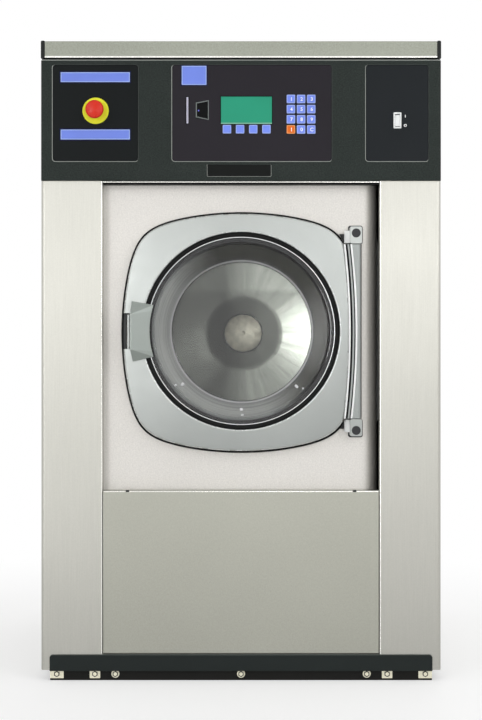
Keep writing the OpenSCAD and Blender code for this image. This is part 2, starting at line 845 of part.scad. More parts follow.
module lid_end_trims() {
    color("#1b1f1e") both_sides()
        translate([0, y_back, 0]) rotate([90, 0, 0])
            linear_extrude(casing_d + lid_over + trim_proud / 2) polygon(concat(
                [[half_w - trim_w, casing_top], [half_w, casing_top]],
                arc(half_w - trim_r, body_h - trim_r, trim_r, 0, 90, 4),
                [[half_w - trim_w, body_h]]));
}

module door_panel() {
    w = column_x + flange_w;
    z0 = cover_top - 38;
    color("#e6e0d8") {
        difference() {
            box([-w, w], [y_panel, y_panel_back], [z0, console_z]);
            rod_y(0, door_z, opening_r, y_panel - 1, y_panel_back + 1);
            box([arm_x - 17, arm_x + arm_w + barb_w + 1], [y_panel - 1, y_panel_back + 1],
                [arm_z[0] - arm_play, arm_z[1] + arm_play]);
        }
        both_sides() box([w - sheet, w], [y_panel_back, y_panel + cover_edge], [z0, console_z]);
    }
}

module lower_cover() {
    w = column_x - seam;
    color("#acaca0") difference() {
        union() {
            box([-w, w], [y_front, y_front + sheet], [frame_h, cover_top]);
            box([-w, w], [y_front, y_panel - seam / 2], [cover_top - sheet, cover_top]);
            box([-w, w], [y_front, y_front + cover_edge], [frame_h, frame_h + sheet]);
            both_sides() box([w - sheet, w], [y_front, y_front + cover_edge], [frame_h, cover_top]);
        }
        both_sides() box([w - notch_in - notch_w / 2, w - notch_in + notch_w / 2],
            [y_front - 1, y_front + 5], [cover_top - notch_d, cover_top + 1]);
    }
}

// Console

module insert_plate(x, w) {
    translate([x, insert_mid_z]) polygon(rounded(w, insert_h, insert_r));
}

module switch_hole(y0, y1) {
    slab(y0, y1) translate([switch_x, switch_z])
        square([switch_cut[0] + 2 * play, switch_cut[1] + 2 * play], center = true);
}

module console_housing() {
    cx = half_w - fold_r;
    cy = y_console + fold_r;
    front = arc(cx, cy, fold_r, 270, 360);
    side = half_w - console_wall;
    outline = concat([for (i = [8:-1:0]) [-front[i][0], front[i][1]]], front,
        [[half_w, y_console_end], [side, y_console_end], [side, y_front],
         [-side, y_front], [-side, y_console_end], [-half_w, y_console_end]]);
    color("#2d3732") difference() {
        union() {
            translate([0, 0, console_z]) linear_extrude(console_h) polygon(outline);
            for (z = [console_z, console_top - console_wall])
                box([-side, side], [y_front - eps, y_console_end], [z, z + console_wall]);
        }
        slab(y_console - 1, y_pocket) {
            insert_plate(left_insert_x, left_insert_w + 2 * play);
            insert_plate(mid_insert_x, mid_insert_w + 2 * play);
            insert_plate(right_insert_x, right_insert_w + 2 * play);
        }
        rod_y(stop_x, stop_z, stop_barrel_r + play, y_console, y_front + 1);
        box(window_x, [y_console, y_front + 1], window_z);
        switch_hole(y_console, y_front + 1);
    }
}

function key_place(k) = [keypad_x + (k[1] - 1) * key_pitch, keypad_z + (k[2] - 1.5) * key_pitch];
function soft_place(i) = [soft_x + (i - 1.5) * soft_pitch, soft_z];
PLACES = concat([for (k = KEYS) key_place(k)], [for (i = [0:3]) soft_place(i)]);

module port_outline(grow) {
    w = port_w / 2 + grow;
    h = port_h / 2 + grow;
    translate([port_x, port_z])
        polygon([[-w, port_slope + 0.5 - h], [w, -h], [w, h], [-w, h - port_slope + 0.5]]);
}

module console_inserts() {
    color("#1b1f20") {
        difference() {
            slab(y_overlay, y_pocket) insert_plate(left_insert_x, left_insert_w);
            rod_y(stop_x, stop_z, stop_barrel_r + play, y_overlay - 1, y_pocket + 1);
        }
        difference() {
            slab(y_overlay, y_pocket) insert_plate(right_insert_x, right_insert_w);
            switch_hole(y_overlay - 1, y_pocket + 1);
        }
        difference() {
            slab(y_overlay, y_pocket) insert_plate(mid_insert_x, mid_insert_w);
            slab(y_overlay - 1, y_pocket + 1) {
                for (p = PLACES) translate(p) square(key_w + 2 * play, center = true);
                translate([display_x, display_z]) square([display_w, display_h], center = true);
                translate([slot_x, slot_z]) square([card_w, card_h], center = true);
                port_outline(0);
            }
        }
    }
}

module display_module() {
    w = display_w / 2 + 5.5;
    color("#32a885") {
        slab(y_overlay + 0.8, y_pocket + play) translate([display_x, display_z])
            square([display_w - 2 * play, display_h - 2 * play], center = true);
        box([display_x - w, display_x + w], [y_pocket + play, y_board],
            [display_z - display_h / 2 - play, display_z + display_h / 2 + 6]);
    }
}

module control_board() {
    x = [window_x[0] - board_edge + 9, window_x[1] + board_edge - 9];
    z = [window_z[0] - board_edge, window_z[1] + board_edge];
    post_r = 4;
    post_in = 6;
    color("#2f5d3a") {
        box(x, [y_board, y_board + board_t], z);
        for (px = [x[0] + post_in, x[1] - post_in], pz = [z[0] + post_in, z[1] - post_in])
            rod_y(px, pz, post_r, y_front, y_board + eps);
    }
}

module card_reader() {
    y = [y_pocket + play, y_board];
    nose = [card_w - 2 * play, card_h - 2 * play];
    edge = 7;
    color("#8d8d90") {
        difference() {
            union() {
                box([slot_x - 12, slot_x + 10], y,
                    [slot_z - card_h / 2 - edge, slot_z + card_h / 2 + edge]);
                slab(y_overlay, y[0] + eps) translate([slot_x, slot_z]) square(nose, center = true);
            }
            slab(y_overlay - 1, y_board - 2) translate([slot_x, slot_z])
                square([nose[0] - 1.7, nose[1] - 2.4], center = true);
        }
        difference() {
            slab(y[0], y[1]) port_outline(5);
            slab(y[0] - 1, y_board - 2) port_outline(-0.5);
        }
    }
}

module estop_collar() {
    nut_w = 6;
    nut_t = 8;
    color("#f0fa3c") difference() {
        union() {
            rod_y(stop_x, stop_z, collar_r, y_collar, y_overlay);
            rod_y(stop_x, stop_z, stop_barrel_r, y_overlay - eps, y_stop_block);
            rod_y(stop_x, stop_z, stop_barrel_r + nut_w, y_front, y_front + nut_t);
            box([stop_x - stop_block_w / 2, stop_x + stop_block_w / 2],
                [y_stop_block, y_stop_block + stop_block_d],
                [stop_z - stop_block_h / 2, stop_z + stop_block_h / 2]);
        }
        rod_y(stop_x, stop_z, stop_stem_r + fit, y_collar - 1, stem_end + 2 * stop_travel);
    }
}

module estop_stem() {
    color("#303030") rod_y(stop_x, stop_z, stop_stem_r, y_stop_head - head_bore + play, stem_end);
}

module estop_head() {
    neck = stop_head_r - 5;
    edge_r = 6;
    color("#e04026") turned(stop_x, stop_z) polygon(concat(
        [[stop_stem_r + fit, y_stop_head], [neck, y_stop_head], [neck, y_stop_head - 9],
         [stop_head_r, y_stop_head - 12]],
        arc(stop_head_r - edge_r, y_stop_head - stop_head_l + edge_r + 2, edge_r, 0, -60, 4),
        [[0, y_stop_head - stop_head_l], [0, y_stop_head - head_bore],
         [stop_stem_r + fit, y_stop_head - head_bore]]));
}

module switch_bezel() {
    w = switch_cut[0];
    h = switch_cut[1];
    pin_l = w - 0.4;
    color("#e8e8e4") difference() {
        union() {
            slab(y_switch, y_overlay) translate([switch_x, switch_z])
                polygon(rounded(switch_w, switch_h, 2, 4));
            slab(y_overlay - eps, y_front + 14) translate([switch_x, switch_z])
                square([w, h], center = true);
        }
        slab(y_switch - 1, y_rocker + 9) translate([switch_x, switch_z])
            square([w - 2, h - 2], center = true);
        translate([switch_x - pin_l / 2, y_rocker, switch_z]) rotate([0, 90, 0])
            cylinder(r = rocker_pin_r + fit, h = pin_l, $fn = 32);
    }
}

module switch_rocker() {
    w = switch_cut[0] - 2 - 2 * play;
    h = switch_cut[1] / 2 - 2;
    color("#f4f4f0") translate([switch_x, y_rocker, switch_z]) rotate([-rocker_tilt, 0, 0]) {
        translate([-w / 2, 0, 0]) rotate([0, 90, 0]) rotate([0, 0, 90]) linear_extrude(w)
            polygon([[-2, h], [-7, h], [-5, 0], [-7, -h], [-2, -h], [4, -5], [4, 5]]);
        rotate([0, 90, 0])
            cylinder(r = rocker_pin_r, h = switch_cut[0] - 2 * play, center = true, $fn = 32);
    }
}

module key(place) {
    x = place[0];
    z = place[1];
    f = key_flange_w / 2;
    s = key_stem_w / 2;
    y = y_pocket + play;
    color("#6e8cf0") {
        slab(y_overlay - key_proud, y) translate([x, z]) polygon(rounded(key_w, key_w, 2, 4));
        box([x - f, x + f], [y - eps, y + key_flange_t], [z - f, z + f]);
        box([x - s, x + s], [y + key_flange_t - eps, y_board - key_travel - play], [z - s, z + s]);
    }
}

// Door

module inside_bow() {
    intersection() {
        children();
        translate([bow_x - bow_r, 0, door_z]) rotate([90, 0, 0])
            cylinder(r = bow_r, h = 3 * body_w, center = true, $fn = 360);
    }
}

module door_dome() {
    steps = 10;
    reach = door_half * 1.3;
    turned(0, door_z) polygon(concat(
        [[0, y_door]], [[reach, y_door]],
        [for (i = [steps:-1:0]) let (r = reach * i / steps) [r, y_crown - dome_drop(r)]]));
}

module door_frame() {
    front = y_lip;
    cavity = [y_rim + 9, y_door + 1];
    bar_y = [hinge_y - knuckle_r + 1, hinge_y + knuckle_r - 1];
    color("#c8cdc8") {
        difference() {
            union() {
                inside_bow() intersection() {
                    slab(front, y_door) translate([0, door_z]) polygon(squircle(door_half));
                    door_dome();
                }
                box([web_cut_x - 2, hinge_x], bar_y, bar_z);
                rod_z(hinge_x, hinge_y, knuckle_r, bar_z[0], bar_z[1]);
            }
            rod_y(0, door_z, ring_r, front, y_door + 1);
            rod_y(0, door_z, clamp_r, y_clamp, y_door + 1);
            intersection() {
                difference() {
                    slab(cavity[0], cavity[1]) translate([0, door_z])
                        polygon(squircle(door_half - frame_wall));
                    rod_y(0, door_z, ring_r + frame_wall, cavity[0] - 1, cavity[1] + 1);
                }
                box([-door_half, web_cut_x - 14], [cavity[0], cavity[1]],
                    [door_z - door_half, door_z + door_half]);
            }
            box([-door_half - 1, arm_x - 9], [front, y_rim + 16], notch_z);
            box([arm_x - 20, arm_x + arm_w + 2], [front, y_door + 1],
                [arm_z[0] - arm_play, arm_z[1] + arm_play]);
            for (z = [bar_z[0] - 1, bar_z[1] - pin_l - 1])
                rod_z(hinge_x, hinge_y, hinge_pin_r + fit, z, z + pin_l + 2);
        }
        for (s = [-1, 1]) mirror([0, 0, s < 0 ? 1 : 0]) translate([0, 0, s * door_z])
            box([pivot_x - lug_l, pivot_x + 5], [pivot_y - 5, y_rim + 2], [lug_z, lug_z + lug_t]);
        rod_z(pivot_x, pivot_y, handle_pin_r, door_z - lug_z - 1, door_z + lug_z + 1);
    }
}

module door_glass() {
    back = y_flange + flange_t;
    t = bowl_wall;
    in_r = bowl_edge_r - t + 1;
    color("#b8c4c4", 0.35) turned(0, door_z) polygon(concat(
        [[flange_r, y_flange], [flange_r, back], [bowl_neck_r, back]],
        arc(bowl_bottom_r - bowl_edge_r + 1, y_bowl_end - bowl_edge_r, bowl_edge_r, 15, 90, 5),
        [[0, y_bowl_end], [0, y_bowl_end - t - 2]],
        arc(bowl_bottom_r - bowl_edge_r - 1, y_bowl_end - t - 1 - in_r, in_r, 80, 10, 4),
        [[bowl_neck_r - t, back], [bowl_neck_r - t, y_flange]]));
}

module door_seals() {
    back = y_flange + flange_t + play;
    face = y_flange - 6;
    in_r = ring_r - rubber_w;
    color("#161616") {
        turned(0, door_z) polygon([
            [in_r, face], [ring_r, face], [ring_r, y_clamp],
            [bowl_neck_r + 1.5, y_clamp], [bowl_neck_r + 1.5, back], [flange_r + play, back],
            [flange_r + play, y_flange - play], [in_r, y_flange - play]]);
        ring_y(0, door_z, clamp_r - 1.5, ring_r + 3, y_door, y_panel - play);
        difference() {
            slab(y_panel - 1 - trim_d, y_panel - 1) translate([0, door_z]) difference() {
                polygon(squircle(door_half + trim_out));
                polygon(squircle(door_half));
            }
            box([web_cut_x - 16, door_half + trim_out + 1], [y_panel - 2 - trim_d, y_panel],
                [0, 2 * door_z]);
        }
    }
}

module glass_clamp_ring() {
    color("#8f9492") ring_y(0, door_z, clamp_r - 0.1, bowl_neck_r + 4, y_clamp, y_door);
}

module hinge_blocks() {
    color("#a9aeaa") for (s = [0, 1]) {
        z0 = s == 0 ? bar_z[0] - hinge_play - hinge_block_h : bar_z[1] + hinge_play;
        z1 = z0 + hinge_block_h;
        rod_z(hinge_x, hinge_y, knuckle_r, z0, z1);
        box([hinge_x - knuckle_r + 3, hinge_x + knuckle_r - 1], [hinge_y, y_panel], [z0, z1]);
        if (s == 0) rod_z(hinge_x, hinge_y, hinge_pin_r, z1 - 1, z1 + pin_l - 1);
        if (s == 1) rod_z(hinge_x, hinge_y, hinge_pin_r, z0 + 1 - pin_l, z0 + 1);
    }
}

// The handle's hood: a lip in front, and a foot that lies along the frame
module hood(inset, open) {
    left = -handle_x - open;
    bend = handle_w - 6 - handle_x;
    right = handle_w - handle_x;
    top = handle_z[1] - inset;
    bottom = handle_z[0] + inset;
    hull() {
        box([left, 3 - handle_x], [y_lip + inset, y_lip + inset + 1],
            [lip_z[0] + inset, lip_z[1] - inset]);
        slab(y_hood - 1 + inset, y_hood + (open > 0 ? 2 : 0)) polygon([
            [left + 1.4, top], [bend, top - 8], [right, top - 20],
            [right, bottom + 22], [bend, bottom + 11], [left + 4.3, bottom]]);
    }
}

module door_handle() {
    w = handle_wall;
    web_y = [pivot_y - 2, pivot_y + 1.5];
    color("#a5aca5") {
        difference() {
            hood(0, 0);
            hood(w, 6);
            rod_y(0, door_z, handle_arc_r, y_lip, y_hood + 9);
            rod_z(pivot_x, pivot_y, handle_pin_r + fit, door_z - lug_z, door_z + lug_z);
            for (z = [door_z - lug_z - lug_t - 1, door_z + lug_z - 1])
                box([pivot_x - lug_l - 2, pivot_x + 7], [pivot_y - 7, y_hood + 9], [z, z + lug_t + 2]);
        }
        difference() {
            union() {
                rod_z(pivot_x, pivot_y, handle_pin_r + 2.2, door_z - lug_z + play, door_z + lug_z - play);
                box([arm_x, arm_x + arm_w], [y_lip + 6, arm_end], arm_z);
                box([arm_x, pivot_x], web_y, arm_z);
                box([arm_x, arm_x + arm_w + barb_w], [arm_end - barb_t, arm_end], arm_z);
            }
            rod_z(pivot_x, pivot_y, handle_pin_r + fit, door_z - lug_z, door_z + lug_z);
        }
    }
}

module door_lock() {
    x = lock_bolt_w / 2 + 0.1;
    y = lock_bolt_d / 2 + 0.1;
    color("#262626") difference() {
        box(lock_x, lock_y, lock_z);
        box([bolt_mid[0] - x, bolt_mid[0] + x], [bolt_mid[1] - y, bolt_mid[1] + y],
            [bolt_foot, lock_top + 1]);
    }
}

module lock_bolt() {
    x = lock_bolt_w / 2;
    y = lock_bolt_d / 2;
    color("#b0b2b0") box([bolt_mid[0] - x, bolt_mid[0] + x], [bolt_mid[1] - y, bolt_mid[1] + y],
        [bolt_foot + play, lock_top + 3]);
}

// The bellows between the door panel and the tub's mouth
module door_boot() {
    y0 = y_panel + 1;
    cuff = 12;
    y1 = y_tub - neck_l + cuff;
    n = 4;
    t = 2.5;
    start = y_panel_back + 4;
    step = (y1 - cuff - start) / n;
    fold_in = mouth_r + 5;
    fold_out = fold_in + 9;
    lip = opening_r - 8;
    zig = [for (i = [0:n]) [i % 2 == 0 ? fold_in : fold_out, start + i * step]];
    color("#1a1a1a") turned(0, door_z) polygon(concat(
        [[lip, y0], [opening_r - play, y0], [opening_r - play, y_panel_back],
         [opening_r + 4, y_panel_back], [opening_r + 4, y_panel_back + t],
         [fold_in + t, y_panel_back + t]],
        [for (p = zig) [p[0] + t, p[1]]],
        [[fold_in + t, y1], [mouth_r + neck_wall + play, y1],
         [mouth_r + neck_wall + play, y1 - cuff + eps]],
        [for (i = [n:-1:1]) zig[i]],
        [[lip, y_panel_back + t]]));
}

// Tub

module tub_shell() {
    bottom = door_z - tub_r;
    fill_out_r = fill_r + 1 + fill_wall;
    color("#b4b6b4") difference() {
        union() {
            rod_y(0, door_z, tub_r, y_tub, y_tub_end);
            rod_y(0, door_z, mouth_r + neck_wall, y_tub - neck_l, y_tub + 1);
            rod_z(-drain_x, drain_y, spigot_r, spigot_end, bottom + 60);
            rod_z(fill_x, fill_y, fill_out_r, door_z + 150, fill_z);
        }
        rod_y(0, door_z, tub_r - tub_t, y_tub + tub_t, y_tub_end - tub_t);
        rod_y(0, door_z, mouth_r, y_tub - neck_l - 1, y_tub + tub_t + 1);
        rod_y(0, door_z, bearing_r, y_tub_end - tub_t - 1, y_tub_end + 1);
        rod_z(-drain_x, drain_y, spigot_r - 4, cradle_z, bottom + 90);
        rod_z(fill_x, fill_y, fill_r + 1, door_z + 100, fill_z + 1);
    }
}

module tub_cradle() {
    z = [cradle_z, cradle_z + beam_h];
    arm_in = 170;
    rail_x = [60, 90];
    color("#3a3d3c") {
        difference() {
            union() {
                for (y = beams_y) {
                    box([-spring_x - beam_end, spring_x + beam_end],
                        [y - beam_w / 2, y + beam_w / 2], z);
                    both_sides() box([arm_in, spring_x], [y - beam_w / 2, y + beam_w / 2],
                        [z[1] - 1, door_z - arm_in - 2]);
                }
            }
            for (y = beams_y) box([-spring_x - beam_end - 1, spring_x + beam_end + 1],
                [y - beam_w / 2 + beam_plate, y + beam_w / 2 - beam_plate],
                [z[0] + beam_plate, door_z]);
            rod_y(0, door_z, tub_r + play, y_tub - 1, y_tub_end + 1);
        }
        both_sides() box(rail_x, [beams_y[0], motor_plane - 57], z);
        both_sides() for (y = beams_y) {
            rod_z(damper_x, y, damper_rod_r, piston_z, cradle_z);
            rod_z(damper_x, y, damper_bore_r - fit, piston_z, piston_z + piston_h);
        }
    }
}

module damper_cylinders() {
    t = damper_end_t;
    color("#202322") both_sides() for (y = beams_y) difference() {
        rod_z(damper_x, y, damper_r, frame_h, damper_top);
        rod_z(damper_x, y, damper_bore_r, frame_h + t, damper_top - t);
        rod_z(damper_x, y, damper_rod_r + fit, damper_top - t - 1, damper_top + 1);
    }
}

module suspension_springs() {
    color("#6c6f6e") both_sides() for (y = beams_y) translate([spring_x, y, frame_h])
        linear_extrude(cradle_z - frame_h, twist = -360 * spring_turns, slices = 9 * spring_turns,
            $fn = 6) translate([spring_r, 0]) circle(r = wire_r, $fn = 6);
}

module bearing_housing() {
    body_r = bearing_r + housing_wall;
    color("#4c5250") {
        difference() {
            union() {
                rod_y(0, door_z, body_r + housing_flange_w, y_tub_end, y_tub_end + housing_flange_t);
                rod_y(0, door_z, body_r, y_tub_end, y_housing_end);
            }
            rod_y(0, door_z, bearing_r - 12, y_tub_end - 1, y_housing_end + 1);
            rod_y(0, door_z, bearing_r, y_tub_end - 1, y_tub_end + bearing_in + bearing_w);
            rod_y(0, door_z, bearing_r, y_housing_end - bearing_w, y_housing_end + 1);
        }
        for (y = [y_tub_end + bearing_in, y_housing_end - bearing_w])
            ring_y(0, door_z, bearing_r - 0.02, shaft_r + fit, y, y + bearing_w);
    }
}

// Drum

module drum_shell() {
    color("#c9cbc8") difference() {
        rod_y(0, door_z, drum_r, y_drum, y_drum_end);
        rod_y(0, door_z, drum_r - drum_t, y_drum + drum_t, y_drum_end - drum_t);
        rod_y(0, door_z, drum_mouth_r, y_drum - 1, y_drum + drum_t + 1);
    }
}

module lifter_outline(base, nose, half) {
    polygon(concat(arc(0, 0, base, -half, half, 6),
        arc(drum_r - drum_t - lifter_h + lifter_nose_r, 0, nose, 120, 240, 6)));
}

module drum_lifters() {
    base = drum_r - drum_t - play;
    y = [y_drum + lifter_in, y_drum_end - lifter_in];
    color("#b9bbb8") for (i = [0:lifters - 1]) translate([0, 0, door_z])
        rotate([0, 90 + 360 * i / lifters, 0]) difference() {
            slab(y[0], y[1]) lifter_outline(base, lifter_nose_r, 8);
            slab(y[0] + drum_t, y[1] - drum_t) lifter_outline(base + 1, lifter_nose_r - 2, 7.5);
        }
}

module drum_shaft() {
    y = [y_drum_end, y_drum_end + spider_t];
    color("#9ea19f") {
        rod_y(0, door_z, shaft_r, y_drum_end + 1, y_pulley + pulley_w + 8);
        rod_y(0, door_z, 2 * shaft_r, y[0], y[1]);
        for (i = [0:2]) translate([0, 0, door_z]) rotate([0, 90 + 120 * i, 0])
            box([0, drum_r - 40], y, [-spider_w / 2, spider_w / 2]);
    }
}

module drum_pulley() {
    y = [y_pulley, y_pulley + pulley_w];
    hub_r = shaft_r + hub_h;
    rim_r = drum_pulley_r - rim_h;
    side = (pulley_w - web_t) / 2;
    color("#55595a") difference() {
        rod_y(0, door_z, drum_pulley_r, y[0], y[1]);
        ring_y(0, door_z, rim_r, hub_r, y[0] - 1, y[0] + side);
        ring_y(0, door_z, rim_r, hub_r, y[1] - side, y[1] + 1);
        rod_y(0, door_z, shaft_r + 0.02, y[0] - 1, y[1] + 1);
        for (i = [0:4]) translate([0, 0, door_z]) rotate([0, 72 * i, 0])
            rod_y((rim_r + hub_r) / 2, 0, web_hole_r, y[0], y[1]);
    }
}

module drive_belt() {
    inner = [drum_pulley_r + play, motor_pulley_r + play];
    lean = asin((inner[0] - inner[1]) / centre_d);
    y = [y_pulley + belt_in, y_pulley + pulley_w - belt_in];
    color("#141414") slab(y[0], y[1]) translate([0, door_z]) difference() {
        polygon(belt(inner[0] + belt_t, inner[1] + belt_t, lean));
        polygon(belt(inner[0], inner[1], lean));
    }
}

module motor() {
    front = motor_plane - motor_l;
    lug_x = [55, 85];
    color("#5d6a70") difference() {
        union() {
            rod_y(0, motor_z, motor_r, front, motor_plane);
            both_sides() box(lug_x, [front + 40, motor_plane - 60], [motor_z, cradle_z]);
        }
        rod_y(0, motor_z, motor_shaft_r + fit, front - 1, motor_plane + 1);
    }
}

module motor_pulley() {
    color("#7d8284") {
        rod_y(0, motor_z, motor_shaft_r, motor_plane - motor_l - 10, y_pulley + pulley_w + 6);
        rod_y(0, motor_z, motor_pulley_r, y_pulley, y_pulley + pulley_w);
    }
}

// Services

module water_inlets() {
    x = [inlet_x - valve_edge, inlet_x + inlet_pitch + valve_edge];
    y = y_rear_in - valve_h;
    color("#9a8648") difference() {
        union() {
            box(x, [y, y_rear_in], [inlet_z - valve_h / 2, inlet_z + valve_h / 2]);
            for (i = [0, 1]) rod_y(inlet_x + i * inlet_pitch, inlet_z, inlet_r, y_rear_in - 1, y_end);
            rod_y(fill_x, inlet_z, fill_r, fill_y, y + 10);
            rod_z(fill_x, fill_y, fill_r, fill_z - 40, inlet_z);
            translate([fill_x, fill_y, inlet_z]) sphere(r = fill_r);
        }
        for (i = [0, 1])
            rod_y(inlet_x + i * inlet_pitch, inlet_z, inlet_bore_r, y + 20, y_end + 1);
    }
}

module drain_outlet() {
    bore = drain_r - drain_wall;
    half = drain_valve_w / 2;
    mid = -drain_x - 3;
    color("#3b3b3d") difference() {
        union() {
            rod_y(-drain_x, drain_z, drain_r, drain_y - 46, y_end);
            rod_y(-drain_x, drain_z, drain_r + 6, y_rear_in - 7, y_rear_in);
            rod_z(-drain_x, drain_y, spigot_r + cuff_wall, drain_z, cuff_top);
            box([mid - half, mid + half], [beams_y[0] + cross_w / 2 - 15, drain_y + 60],
                [frame_h, drain_z + drain_r + 4]);
        }
        rod_y(-drain_x, drain_z, bore, drain_y - 30, y_end + 1);
        rod_z(-drain_x, drain_y, spigot_r + play, drain_z, cuff_top + 1);
    }
}

module electrical_box() {
    t = box_sheet;
    y = [y_rear_in - box_d, y_rear_in];
    color("#9fa3a1") difference() {
        union() {
            box(box_x, y, box_z);
            rod_y(gland_x, gland_z, gland_r, y[1] - 1, y_back + gland_reach);
        }
        box([box_x[0] + t, box_x[1] - t], [y[0] + t, y[1] - t], [box_z[0] + t, box_z[1] - t]);
        rod_y(gland_x, gland_z, gland_bore_r, y[1] - t - 1, y_back + gland_reach + 1);
    }
}

base_frame();
plinth_plate();
base_bolts();
left_side_panel();
right_side_panel();
rear_panel();
lid();
lid_end_trims();
door_panel();
lower_cover();
console_housing();
console_inserts();
display_module();
control_board();
card_reader();
estop_collar();
estop_stem();
estop_head();
switch_bezel();
switch_rocker();
for (k = KEYS) key(key_place(k));
for (i = [0:3]) key(soft_place(i));
hinge_blocks();
door_lock();
lock_bolt();
door_frame();
door_glass();
door_seals();
glass_clamp_ring();
door_handle();
door_boot();
tub_shell();
tub_cradle();
bearing_housing();
motor();
drive_belt();
drum_shell();
drum_lifters();
drum_shaft();
drum_pulley();
motor_pulley();
damper_cylinders();
suspension_springs();
water_inlets();
drain_outlet();
electrical_box();
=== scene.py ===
import json
import math

import bmesh
import bpy
from mathutils import Matrix, Vector


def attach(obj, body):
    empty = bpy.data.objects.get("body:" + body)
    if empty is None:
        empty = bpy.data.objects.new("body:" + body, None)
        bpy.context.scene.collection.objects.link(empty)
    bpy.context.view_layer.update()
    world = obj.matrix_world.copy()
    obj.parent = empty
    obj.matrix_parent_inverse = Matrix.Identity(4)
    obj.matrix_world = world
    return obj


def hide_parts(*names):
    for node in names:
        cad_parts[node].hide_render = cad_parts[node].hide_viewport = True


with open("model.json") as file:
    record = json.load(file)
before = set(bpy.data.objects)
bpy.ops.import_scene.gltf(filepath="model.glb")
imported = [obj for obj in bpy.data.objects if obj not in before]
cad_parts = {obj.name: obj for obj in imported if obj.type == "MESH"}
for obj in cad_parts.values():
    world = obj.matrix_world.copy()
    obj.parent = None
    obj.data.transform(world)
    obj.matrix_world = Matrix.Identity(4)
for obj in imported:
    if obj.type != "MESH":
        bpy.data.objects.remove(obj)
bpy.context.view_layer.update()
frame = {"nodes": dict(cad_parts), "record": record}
nodes = frame["nodes"]

# Sizes are in millimetres, as on a drawing, and become metres when a piece is finished
MM = 0.001

# The casing: x is to the right, y runs back from the front, z is up from the floor
half_w = 440
column_x = 305
y_front = -460
y_back = 470
y_panel = -430
y_door = -432
y_seal = -436
foot_top = 24
foot_x = 421
cover_z = (60, 418)
console_z = (1100, 1366)
casing_top = 1370
lid_z = 1372
lid_top = 1407
# The console, its pockets and its printed inserts
y_console = -466
y_console_end = -376
y_pocket = -462.5
y_overlay = -464.5
y_module_back = -448
insert_z = 1248.5
insert_h = 211
# The door: its axis, its bowed and domed outline, and its hinge side
door_z = 770
door_half = 259
side_arc_r = 680
corner_power = 14
outline_drop = 3.3
dome_r = 2100
y_crown = -482.03
bow_x = 237
bow_r = 1617
hinge_x = 252
hinge_y = -452
bar_z = (577, 961)
# The drum, and the steps of a full turn
y_drum = (-310, 184)
drum_r = 330
drum_mouth_r = 190
round_steps = 96


# Mesh helpers

def placed(name, data):
    """An object in the scene that holds a mesh, a curve, a lamp or a camera."""
    obj = bpy.data.objects.new(name, data)
    bpy.context.scene.collection.objects.link(obj)
    return obj


def soften(obj, width, angle, segments=2):
    """Rounds the edges that turn by more than an angle, in degrees."""
    edge = obj.modifiers.new("edge", "BEVEL")
    edge.width = width * MM
    edge.segments = segments
    edge.limit_method = "ANGLE"
    edge.angle_limit = math.radians(angle)
    edge.use_clamp_overlap = True


def near(a, b, gap=0.06):
    """Whether two lengths are the same, within a small gap."""
    return abs(a - b) < gap


def block(bm, x, y, z):
    """A box between two limits on each axis."""
    middle = Matrix.Translation([(a[0] + a[1]) / 2 for a in (x, y, z)])
    size = Matrix.Diagonal([a[1] - a[0] for a in (x, y, z)] + [1])
    return bmesh.ops.create_cube(bm, size=1, matrix=middle @ size)["verts"]


def pushed(bm, grown, vec):
    """Moves what an extrusion has made, and returns its vertices."""
    moved = [g for g in grown["geom"] if isinstance(g, bmesh.types.BMVert)]
    bmesh.ops.translate(bm, vec=vec, verts=moved)
    return moved


def extruded(bm, faces, vec):
    """Draws faces out along a vector, and returns the moved vertices."""
    return pushed(bm, bmesh.ops.extrude_face_region(bm, geom=faces), vec)


def polyline(bm, points):
    """A chain of edges through some points, after its vertices."""
    made = [bm.verts.new(p) for p in points]
    return made, [bm.edges.new(pair) for pair in zip(made, made[1:])]


def folded_sheet(bm, points, vec):
    """A sheet with the folds of a polyline, drawn out along a vector."""
    pushed(bm, bmesh.ops.extrude_edge_only(bm, edges=polyline(bm, points)[1]), vec)


def lies_at(part, axis, value):
    """Whether every vertex of a face or an edge has one value on an axis."""
    return all(near(v.co[axis], value) for v in part.verts)


def prism(bm, corners, low, high, axis=1):
    """A few corner points, extruded along an axis (0 is width, 1 is depth, 2 is height)."""
    def place(a, b, t):
        return {0: (t, a, b), 1: (a, t, b), 2: (a, b, t)}[axis]
    base = [bm.verts.new(place(a, b, low)) for a, b in corners]
    return base + extruded(bm, [bm.faces.new(base)], place(0, 0, high - low))


def edges_along(verts, axis):
    """The edges among these vertices that run straight along an axis."""
    chosen = set(verts)
    found = []
    for e in {e for v in verts for e in v.link_edges}:
        run = e.verts[1].co - e.verts[0].co
        if e.verts[0] in chosen and e.verts[1] in chosen and abs(run[axis]) > 0.999 * run.length:
            found.append(e)
    return found


def bevel(bm, edges, size, segments=3):
    """Rounds some edges of a mesh."""
    if edges:
        bmesh.ops.bevel(bm, geom=list(edges), offset=size, offset_type="OFFSET", affect="EDGES",
                        segments=segments, profile=0.5, material=-1, clamp_overlap=True)


def sharp_edges(bm, angle=30):
    """The edges that turn by more than an angle, in degrees."""
    return [e for e in bm.edges
            if len(e.link_faces) == 2 and e.calc_face_angle(0) > math.radians(angle)]


